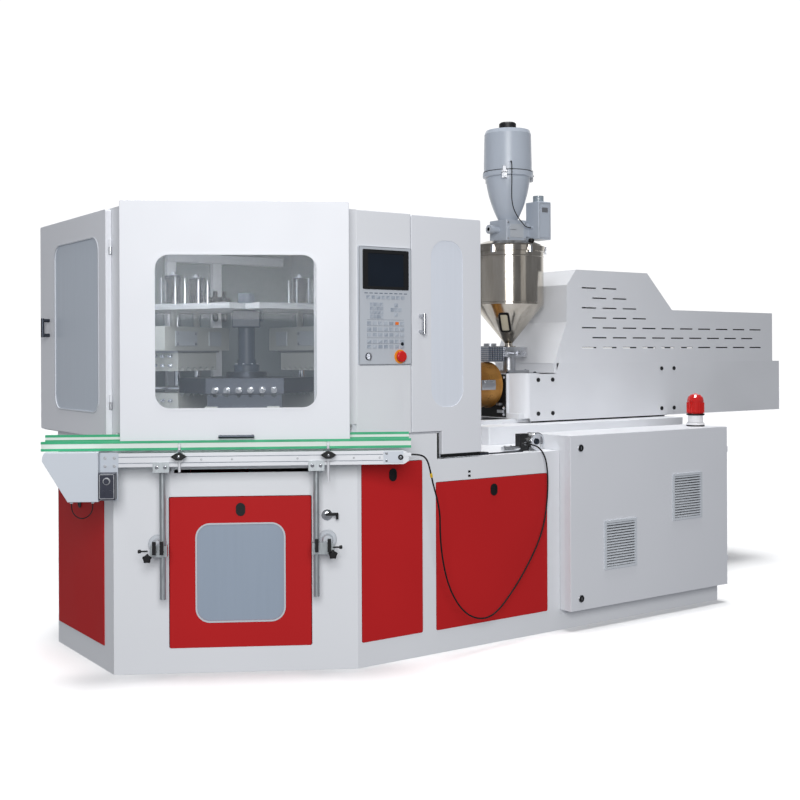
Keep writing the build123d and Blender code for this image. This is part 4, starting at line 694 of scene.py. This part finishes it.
def lift_hub():
    """Housing, collar and bolts on the lifting column, square to the operator's face."""
    axes = (ALONG, OUT, Z)
    collar_z, collar_top, bolt_circle = 1.4055, 0.04, 0.06
    piece("hub_housing", "lift_column", "hub", [
        box((0, 0, 1.688), axes, (0.150, 0.150, 0.09)),
        box(Z * 1.700 + ALONG * 0.083 - OUT * 0.02, axes, (0.016, 0.08, 0.05))], bevel=0.006)
    collar = [(0, 0.07), (0.034, 0.07), (collar_top, 0.064), (collar_top, 0.05), (0.065, 0.05)]
    piece("hub_collar", "lift_column", "hub", [turned((0, 0, collar_z), Z, collar, 40)])
    spots = [spoke(45 * n)[0] * bolt_circle + Z * (collar_z + collar_top) for n in range(8)]
    bolts("hub_bolts", spots, Z, 0.005, 0.005, "lift_column")


def guard_wall():
    """Posts, beams and the air unit on the guard's rear wall."""
    wall, depth, top_depth = 0.935, 0.038, 0.05
    beam_x, beam_length, unit_x, bowl_offset = 0.34, 0.80, 0.275, 0.03
    post_y = wall - depth / 2
    posts = [box((x, post_y, 1.64), SIDE_AXES, (0.06, 1.06, depth)) for x in (-0.03, unit_x)]
    piece("wall_beams", FIXED, "white", posts + [
        box((beam_x, wall - top_depth / 2, 2.085), SIDE_AXES, (beam_length, 0.05, top_depth)),
        box((beam_x, post_y, 1.78), SIDE_AXES, (beam_length, 0.03, depth))], bevel=0.003)
    bowl = [(0, 0.006), (0.012, 0.018), (0.10, 0.020), (0.105, 0.026), (0.15, 0.026), (0.155, 0.014),
            (0.185, 0.014), (0.19, 0.008)]
    bowls = [turned((unit_x + x, 0.866, 1.70), Z, bowl, 20) for x in (-bowl_offset, bowl_offset)]
    piece("air_unit", FIXED, "black", bowls + [
        box((unit_x, post_y - depth, 1.825), SIDE_AXES, (0.15, 0.05, depth))])


def conveyor_profile():
    """Screws, grooves and the idler's end plate on the conveyor's front profile."""
    front, idler_u, idler_z = 0.152, 1.338, 1.018
    plate_front = front + 0.0018
    bolts("end_plate_screws", [on_strip(u, z, front) for u in (-0.014, 0.028) for z in (1.029, 0.992)], OUT,
          0.0055, 0.004, FIXED)
    bolts("bracket_screws", [on_strip(u + d, 0.984, 0.160) for u in (0.238, 0.947) for d in (-0.019, 0.019)],
          OUT, 0.0065, 0.006, FIXED, "chrome")
    bolts("profile_screws", [on_strip(u, idler_z, front) for u in (0.42, 0.56, 0.86, 1.12, 1.24)], OUT,
          0.004, 0.002, FIXED)
    piece("profile_lines", FIXED, "slate", [
        box(on_strip(0.651, z, front + 0.0002), STRIP_AXES, (1.210, 0.0020, 0.0006)) for z in (1.004, 1.032)])
    piece("idler_plate", FIXED, "drive_cover", [
        box(on_strip(1.304, 1.019, front + 0.0009), STRIP_AXES, (0.092, 0.054, 0.0017))], bevel=0.0005)
    idler = on_strip(idler_u, idler_z, plate_front)
    ring = [(0, 0.0125), (0.002, 0.0125), (0.002, 0.009), (0.0, 0.009)]
    piece("idler_ring", FIXED, "rubber", [turned(idler, OUT, ring, 24)])
    screws = [on_strip(1.272, z, plate_front) for z in (1.002, 1.036)] + [idler]
    bolts("idler_screws", screws, OUT, 0.0045, 0.003, FIXED, "chrome")


def star_knob(u, z, way):
    """A five-lobed knob on its clamp, with the end of its stem to one side."""
    foot, lobes, lobe_circle, first_lobe = on_strip(u, z, 0.1225), 5, 0.016, 0.3
    body = [(0, 0.009), (0.010, 0.010), (0.012, 0.017), (0.026, 0.0185), (0.031, 0.014)]
    lobe = [(0, 0.0055), (0.013, 0.006), (0.016, 0.004)]
    stem = [(0, 0.004), (0.030, 0.004), (0.031, 0.008), (0.042, 0.009), (0.045, 0.006)]
    forms = [turned(foot, OUT, body, 10)]
    for k in range(lobes):
        a = 2 * math.pi * k / lobes + first_lobe
        spot = foot + ALONG * lobe_circle * math.cos(a) + Z * lobe_circle * math.sin(a)
        forms.append(turned(spot + OUT * 0.012, OUT, lobe, 10))
    forms.append(turned(on_strip(u, z + 0.03, 0.120), ALONG * way, stem, 14))
    return forms


def conveyor_mounts():
    """Collars, wall flanges, clamp knobs, the drain and the small trims round the conveyor."""
    nut = [(0, 0.013), (0.006, 0.013), (0.008, 0.0095), (0.016, 0.0095)]
    screw = [(0, 0.006), (0.004, 0.006), (0.005, 0.003)]
    collars = []
    for u in (0.322, 1.001):
        collars.append(turned(on_strip(u, 1.0485, 0.165), Z, nut, 6))
        collars.append(turned(on_strip(u, 1.036, 0.2083), OUT, screw, 12))
    piece("upright_collars", FIXED, "chrome", collars)
    flange = [(0, 0.044), (0.008, 0.044), (0.011, 0.040), (0.011, 0.028), (0.020, 0.024), (0.050, 0.022),
              (0.052, 0.018)]
    piece("wall_flanges", FIXED, "pale_grey", [
        turned(on_strip(u, z, 0.0103), OUT, flange, 36) for u, z in ((0.206, 0.612), (1.001, 0.622))])
    piece("clamp_star_knobs", FIXED, "black",
          star_knob(0.172, 0.566, -1) + star_knob(1.022, 0.570, 1))
    boss = [(0, 0.026), (0.006, 0.026), (0.009, 0.022), (0.009, 0.014), (0.03, 0.013), (0.032, 0.009)]
    piece("drain_boss", FIXED, "chrome", [
        turned(on_strip(1.0, 0.735, 0.0005), OUT, boss, 28)])
    lever_out, lever_thick = 0.037, 0.009
    piece("drain_lever", FIXED, "black", [
        box(on_strip(1.022, 0.742, lever_out), STRIP_AXES, (0.06, 0.014, lever_thick)),
        box(on_strip(1.047, 0.732, lever_out), STRIP_AXES, (0.012, 0.03, lever_thick))], bevel=0.002)
    rim = [(0, 0.017), (0.002, 0.017), (0.003, 0.0155), (0.003, 0.0125), (0.0, 0.0125)]
    piece("drive_box_trim", FIXED, "zinc", [
        ring_frame(on_strip(0, 0, 0.2123), STRIP_AXES, (-0.028, 0.033), (0.853, 0.959),
                   0.004, 0.0025, 0.0015),
        turned(on_strip(0.002, 0.930, 0.2122), OUT, rim, 24)])
    cable_way = Vector(conveyor_route[4]) - Vector(conveyor_route[3])
    tag = [(0, 0.0045), (0.001, 0.0062), (0.021, 0.0062), (0.022, 0.0045)]
    piece("cable_tag", FIXED, "yellow", [
        turned((0.3275, -1.2112, 0.9353), cable_way, tag, 18)])


def operator_station():
    piece("panel_border", FIXED, "zinc", [
        ring_frame((0, PANEL_Y, 0), SIDE_AXES, (0.092, 0.395), (1.449, 2.012), 0.005, 0.0022, 0.0012)])
    piece("orange_key", FIXED, "orange", [
        box((0.3085, PANEL_Y - 0.0034, 1.646), SIDE_AXES, (0.020, 0.014, 0.001))], bevel=0.0004)
    lens = [(0, 0.009), (0.003, 0.009), (0.004, 0.007), (0.006, 0.005)]
    piece("indicator_lens", FIXED, "screen", [
        turned((0.341, PANEL_Y - 0.0002, 1.546), -Y, lens, 20)])
    bezel = [(0, 0.0185), (0.003, 0.0185), (0.004, 0.017), (0.004, 0.0155), (0.0, 0.0155)]
    piece("selector_bezel", FIXED, "dark_steel", [
        turned((0.142, PANEL_Y, 1.486), -Y, bezel, 28)])
    line_y, first_dash, dash_pitch = PANEL_Y - 0.00025, 0.130, 0.029
    dashes = [box((first_dash + dash_pitch * k, line_y, 1.7905), SIDE_AXES, (0.019, 0.004, 0.0007))
              for k in range(9)]
    lines = [box((0.243, line_y, z), SIDE_AXES, (0.218, 0.0012, 0.0005))
             for z in (1.6625, 1.6335, 1.6055, 1.5755, 1.5475)]
    piece("key_legend_lines", FIXED, "slate", dashes + lines)


def cabinet_and_beacon():
    lock_x, lock_y, locks = 1.474, -1.0374, []
    ring = [(0, 0.021), (0.002, 0.021), (0.003, 0.020), (0.003, 0.0174), (0.0, 0.0174)]
    for z in (0.172, 0.985):
        locks.append(turned((lock_x, lock_y, z), -Y, ring, 28))
        locks.append(box((lock_x, lock_y - 0.005, z), SIDE_AXES, (0.004, 0.016, 0.0008)))
    piece("lock_rings", "cabinet_leaf", "zinc", locks)
    ribs, rib_count, dome_radius = [], 28, 0.0513
    for k in range(rib_count):
        out, tangent = spoke(360 * k / rib_count)
        spot = Vector((BEACON_X, BEACON_Y, 1.164)) + out * dome_radius
        ribs.append(box(spot, (out, tangent, Z), (0.0024, 0.0028, 0.064)))
    piece("beacon_ribs", FIXED, "lens", ribs)
    piece("beacon_bands", FIXED, "rubber", [
        turned((BEACON_X, BEACON_Y, 1.0525), Z, [(0, 0.0535), (0.006, 0.0535), (0.008, 0.0525)], 40),
        turned((BEACON_X, BEACON_Y, 1.119), Z, [(0, 0.0532), (0.008, 0.0532), (0.009, 0.0525)], 40)])


# injection unit

def barrel_trims():
    """Latch and bands of the heater cover, fins of the blower and the throat's bolts."""
    cover, latch_y, latch_z = 0.1411, -0.1443, 1.323
    piece("heater_latch", "carriage", "zinc", [
        curved_plate(xs=(1.528, 1.639), radii=(cover, 0.1442), arc=(-101, -77), rows=10),
        box((1.5835, -0.147, 1.326), SIDE_AXES, (0.05, 0.020, 0.006)),
        bolt((1.545, latch_y, latch_z), -Y, 0.004, 0.003),
        bolt((1.622, latch_y, latch_z), -Y, 0.004, 0.003)])
    band = [(0, cover), (0, 0.1428), (0.012, 0.1428), (0.012, cover)]
    piece("heater_bands", "carriage", "heat", [
        turned((x, 0, BARREL_Z), X, band, 48) for x in (0.90, 1.10, 1.30, 1.50, 1.68)])
    lowest_fin, fin_pitch = 1.4535, 0.0125
    fins = [box((1.715, 0, lowest_fin + fin_pitch * k), LEVEL_AXES, (0.136, 0.126, 0.0035)) for k in range(7)]
    piece("blower_fins", "carriage", "slate", fins, bevel=0.0008)
    corners = [(HOPPER_X + x, y, 1.391) for x in (-0.075, 0.075) for y in (-0.075, 0.075)]
    bolts("throat_flange_bolts", corners, Z, 0.007, 0.007, "carriage", "chrome")


def sight_window():
    """The framed sight glass on the hopper's cone, square to its slope."""
    around = spoke(219)[0]
    rise, run = 0.7764, 0.6304
    slope = (around * run + Z * rise).normalized()
    outward = (around * rise - Z * run).normalized()
    level = slope.cross(outward).normalized()
    axes = (level, slope, outward)
    centre = Vector((HOPPER_X, 0, 1.690)) + around * 0.1294
    half_width, half_height, rim = 0.022, 0.062, 0.013
    forms = [ring_frame(centre - outward * 0.006, axes, (-half_width, half_width),
                        (-half_height, half_height), 0.008, rim, 0.010)]
    for across in (-0.0285, 0.0285):
        for up in (-0.0655, 0.0655):
            corner = centre + level * across + slope * up + outward * 0.004
            forms.append(bolt(corner, outward, 0.0028, 0.0025))
    piece("sight_frame", "carriage", "rubber", forms)
    piece("sight_glass", "carriage", "amber", [
        box(centre + outward * 0.0005, axes, (0.045, 0.125, 0.002))])


def hopper_trims():
    """Toggles and knob of the lid, and the hopper's rolled beads."""
    lid_z, lid_radius, plate, toggles = 2.140, 0.2295, 0.008, []
    for degrees in (205, 265, 325, 25, 85, 145):
        out, tangent = spoke(degrees)
        foot = Vector((HOPPER_X, 0, lid_z)) + out * lid_radius
        toggles.append(box(foot + out * (plate / 2), (tangent, out, Z), (0.026, plate, 0.034)))
        toggles.append(box(foot + out * plate + Z * 0.006, (tangent, out, Z), (0.014, plate, 0.050)))
    piece("lid_toggles", "carriage", "chrome", toggles, bevel=0.001)
    knob = [(0, 0.012), (0.012, 0.010), (0.018, 0.018), (0.032, 0.019), (0.038, 0.012)]
    piece("lid_knob", "carriage", "black", [turned((1.92, -0.160, 2.178), Z, knob, 18)])
    bead = [(0, 0.2221), (0.001, 0.2236), (0.007, 0.2236), (0.008, 0.2221)]
    piece("hopper_beads", "carriage", "hopper", [
        turned((HOPPER_X, 0, z), Z, bead, 72) for z in (1.812, 2.10)], smooth=True)


def loader_trims():
    """Toggles, seam and cap of the drum, the valve's plate and the trim of the loader's box."""
    band_z, band_radius, pin, pin_length, toggles = 2.625, 0.1585, 0.005, 0.038, []
    for degrees in (222, 342, 102):
        out, tangent = spoke(degrees)
        foot = Vector((HOPPER_X, 0, band_z)) + out * band_radius
        toggles.append(box(foot + out * 0.003 - Z * 0.012, (tangent, out, Z), (0.034, 0.008, 0.05)))
        toggles.append(box(foot + out * 0.009 + Z * 0.004, (tangent, out, Z), (0.020, 0.006, 0.066)))
        pin_foot = foot + out * 0.010 - tangent * (pin_length / 2)
        toggles.append(turned(pin_foot, tangent, [(0, pin), (pin_length, pin)], 12))
    piece("drum_toggles", "carriage", "zinc", toggles, bevel=0.001)
    seam = [(0, 0.1512), (0, 0.1542), (0.0028, 0.1542), (0.0028, 0.1512)]
    piece("drum_seam", "carriage", "rubber", [turned((HOPPER_X, 0, 2.6422), Z, seam, 64)])
    ring, cap_top = [(0, 0.060), (0.008, 0.060), (0.010, 0.056)], Vector((HOPPER_X, 0, 2.9528))
    cap = [turned((HOPPER_X, 0, 2.9105), Z, ring, 32)]
    for degrees in (60, 180, 300):
        out, tangent = spoke(degrees)
        cap.append(box(cap_top + out * 0.035, (out, tangent, Z), (0.02, 0.012, 0.009)))
    piece("drum_cap_ring", "carriage", "rubber", cap)
    valve_y, valve_z, plate, block = -0.083, 2.268, 0.003, 0.014
    washer = [(0, 0.022), (0.001, 0.022), (0.001, 0.012), (0.0, 0.012)]
    piece("valve_plate", "carriage", "pale_grey", [
        turned((1.7065, 0, 2.275), -X, washer, 20),
        box((HOPPER_X, valve_y - plate / 2, valve_z), SIDE_AXES, (0.11, 0.085, plate)),
        box((1.83, valve_y - block / 2, 2.285), SIDE_AXES, (0.05, 0.022, block))], bevel=0.001)
    corners = [(HOPPER_X + x, valve_y, valve_z + z) for x in (-0.070, 0.070) for z in (-0.050, 0.050)]
    bolts("valve_bolts", corners, -Y, 0.005, 0.004, "carriage")
    piece("loader_box_trim", "carriage", "zinc", [
        ring_frame((0, -0.165, 0), SIDE_AXES, (1.988, 2.073), (2.226, 2.441), 0.004, 0.002, 0.001),
        box((2.030, -0.1655, 2.40), SIDE_AXES, (0.05, 0.03, 0.0012))])


def carriage_trims():
    """Bolts of the carriage, the skirt's nose and cheek, and the barrel's flange."""
    bolts("carriage_top_bolts", [(x, y, 1.3735) for x in (1.745, 1.972) for y in (-0.13, 0.13)], Z,
          0.009, 0.009, "carriage", "dark_steel")
    piece("skirt_nose", "carriage", "white", [
        quarter_nose(corner=(1.795, -0.1503), reach=(0.0595, 0.1348), zs=(1.100, 1.3745))])
    piece("barrel_flange_plate", "carriage", "rubber", [
        box((1.7155, 0, 1.236), LEFT_AXES, (0.294, 0.266, 0.007))], bevel=0.001)
    bolts("barrel_flange_bolts", [(1.712, y, z) for y in (-0.135, 0.135) for z in (1.12, 1.16, 1.35)], -X,
          0.008, 0.008, "carriage", "chrome")
    piece("barrel_clamp_bits", "carriage", "zinc", [
        box((1.702, -0.115, 1.140), LEFT_AXES, (0.050, 0.018, 0.018)),
        box((1.698, -0.105, 1.185), LEFT_AXES, (0.034, 0.014, 0.024))], bevel=0.001)
    piece("skirt_cheek", "carriage", "white", [
        box((2.001, -0.2836, 1.404), SIDE_AXES, (0.024, 0.062, 0.0016))])
    # a dark strip in the gap under the skirt: painted shade of the slide base's top
    piece("skirt_gap_shade_strip", "carriage", "rubber", [
        box((2.40, -0.2825, 1.0776), SIDE_AXES, (1.19, 0.0078, 0.003))])


def work_lamp():
    lamp_x, lamp_z = 1.305, 1.019
    bowl = [(0, 0.049), (0.007, 0.0495), (0.009, 0.047), (0.006, 0.038), (0.0015, 0.022), (0.001, 0.001)]
    piece("lamp_reflector", FIXED, "chrome", [
        turned((lamp_x, -0.8742, lamp_z), -Y, bowl, 40)], smooth=True)
    bulb = [(0, 0.017), (0.004, 0.016), (0.006, 0.010), (0.0065, 0.001)]
    piece("lamp_bulb", FIXED, "screen", [
        turned((lamp_x, -0.876, lamp_z), -Y, bulb, 28)], smooth=True)


def bench_trims():
    """Duct on the bench, plugs, dark strips of painted shade in the notch and below the right door, bolts of
    the lamp's arm.
    """
    piece("bench_duct", FIXED, "dark_steel", [
        box((1.035, -0.885, 0.9725), LEVEL_AXES, (0.30, 0.030, 0.0048)),
        box((0.90, -0.893, 0.977), LEVEL_AXES, (0.06, 0.045, 0.0135))], bevel=0.001)
    piece("base_plugs", FIXED, "rubber", [
        box((0.767, -0.9568, z), SIDE_AXES, (0.016, 0.011, 0.0015)) for z in (0.896, 0.8745)], bevel=0.0006)
    # a dark strip in the upright notch beside the right door: painted shade of the notch
    piece("notch_shade_strip", FIXED, "rubber", [
        box((0.580, -0.920, 1.040), SIDE_AXES, (0.032, 0.136, 0.010))], bevel=0.001)
    # a dark strip hanging from the right door's lower edge: painted shade of the opening under the door, with
    # the dark parts inside it
    piece("door_foot_shade_strip", "right_leaf", "rubber", [
        box((0.7205, -0.943, 0.9842), SIDE_AXES, (0.250, 0.0172, 0.012))], bevel=0.001)
    bolts("arm_bolts", [(x, -0.8451, 1.0002) for x in (1.10, 1.145)], Z, 0.005, 0.004, FIXED)


window_trims()
press_station("injection", 0, "injection_press", -1)
press_station("blow", 120, "blow_press", 1)
lift_hub()
guard_wall()
conveyor_profile()
conveyor_mounts()
operator_station()
cabinet_and_beacon()
barrel_trims()
sight_window()
hopper_trims()
loader_trims()
carriage_trims()
work_lamp()
bench_trims()


# studio: floor, sky, lights and camera

FLOOR_HALF = 40.0
CAMERA_SPOT = (-2.924, -5.497, 1.5)
CAMERA_TURN, CAMERA_ROLL = 34.6, -0.245     # degrees right of +Y, and about the line of sight


def studio_floor():
    """A pale floor that the camera sees and that throws no light back."""
    mesh = bpy.data.meshes.new("studio_floor")
    shape = bmesh.new()
    for x, y in ((-1, -1), (1, -1), (1, 1), (-1, 1)):
        shape.verts.new((x * FLOOR_HALF, y * FLOOR_HALF, -0.0005))
    shape.faces.new(shape.verts)
    shape.to_mesh(mesh)
    shape.free()
    floor = bpy.data.objects.new("studio_floor", mesh)
    bpy.context.scene.collection.objects.link(floor)
    ground = Look("studio_ground")
    patches = ground.spread(ground.noise(0.4), 0, 1)
    ground.set(Base_Color=ground.mix(patches, (0.93, 0.93, 0.93), (0.96, 0.96, 0.96)), Roughness=0.9)
    mesh.materials.append(ground.material)
    floor.visible_diffuse = False
    floor.visible_glossy = False


def studio_sky():
    """A sky that is bright behind the machine and grey elsewhere."""
    world = bpy.data.worlds.new("studio")
    bpy.context.scene.world = world
    world.use_nodes = True
    sky = world.node_tree
    facing = sky.nodes.new("ShaderNodeVectorMath")
    facing.operation = "DOT_PRODUCT"
    facing.inputs[1].default_value = (0.568, 0.823, 0.0)
    sky.links.new(sky.nodes.new("ShaderNodeTexCoord").outputs["Generated"], facing.inputs[0])
    ramp = sky.nodes.new("ShaderNodeValToRGB")
    grey, bright = ramp.color_ramp.elements
    grey.position, grey.color = 0.55, (0.235, 0.242, 0.26, 1)
    bright.position, bright.color = 0.8, (1.06, 1.06, 1.06, 1)
    sky.links.new(facing.outputs["Value"], ramp.inputs["Fac"])
    sky.links.new(ramp.outputs["Color"], sky.nodes["Background"].inputs["Color"])
    sky.nodes["Background"].inputs["Strength"].default_value = 1.0


def area_light(name, place, aim, size, power):
    light = bpy.data.lights.new(name, "AREA")
    light.shape = "RECTANGLE"
    light.size, light.size_y = size
    light.energy = power
    holder = bpy.data.objects.new(name, light)
    bpy.context.scene.collection.objects.link(holder)
    holder.location = place
    holder.rotation_euler = (Vector(aim) - Vector(place)).to_track_quat("-Z", "Y").to_euler()


def top_light():
    sun = bpy.data.lights.new("top_light", "SUN")
    sun.energy = 2.5
    sun.angle = math.radians(20)
    bpy.context.scene.collection.objects.link(bpy.data.objects.new("top_light", sun))


def photo_camera():
    """A level camera at the photograph's viewing angle."""
    lens = bpy.data.cameras.new("camera")
    lens.sensor_width = 36.0
    lens.lens = 51.43
    lens.shift_x, lens.shift_y = 0.0266, -0.0581
    camera = bpy.data.objects.new("camera", lens)
    bpy.context.scene.collection.objects.link(camera)
    turn = math.radians(CAMERA_TURN)
    forward = Vector((math.sin(turn), math.cos(turn), 0))
    look_at = forward.to_track_quat("-Z", "Y").to_matrix().to_4x4()
    roll = Matrix.Rotation(math.radians(CAMERA_ROLL), 4, "Z")
    camera.matrix_world = Matrix.Translation(CAMERA_SPOT) @ look_at @ roll
    bpy.context.scene.camera = camera


studio_floor()
studio_sky()
area_light("key_light", place=(-4.2, -7.5, 3.6), aim=(-0.4, 0, 1.2), size=(3.5, 3.5), power=475)
area_light("fill_light", place=(3.0, -8.0, 3.5), aim=(1.5, 0, 1.0), size=(2.5, 3.0), power=12)
area_light("press_light", place=(-0.3, -0.1, 2.15), aim=(-0.3, -0.1, 1.2), size=(0.8, 0.8), power=12)
top_light()
photo_camera()
bpy.context.scene.view_settings.view_transform = "Standard"
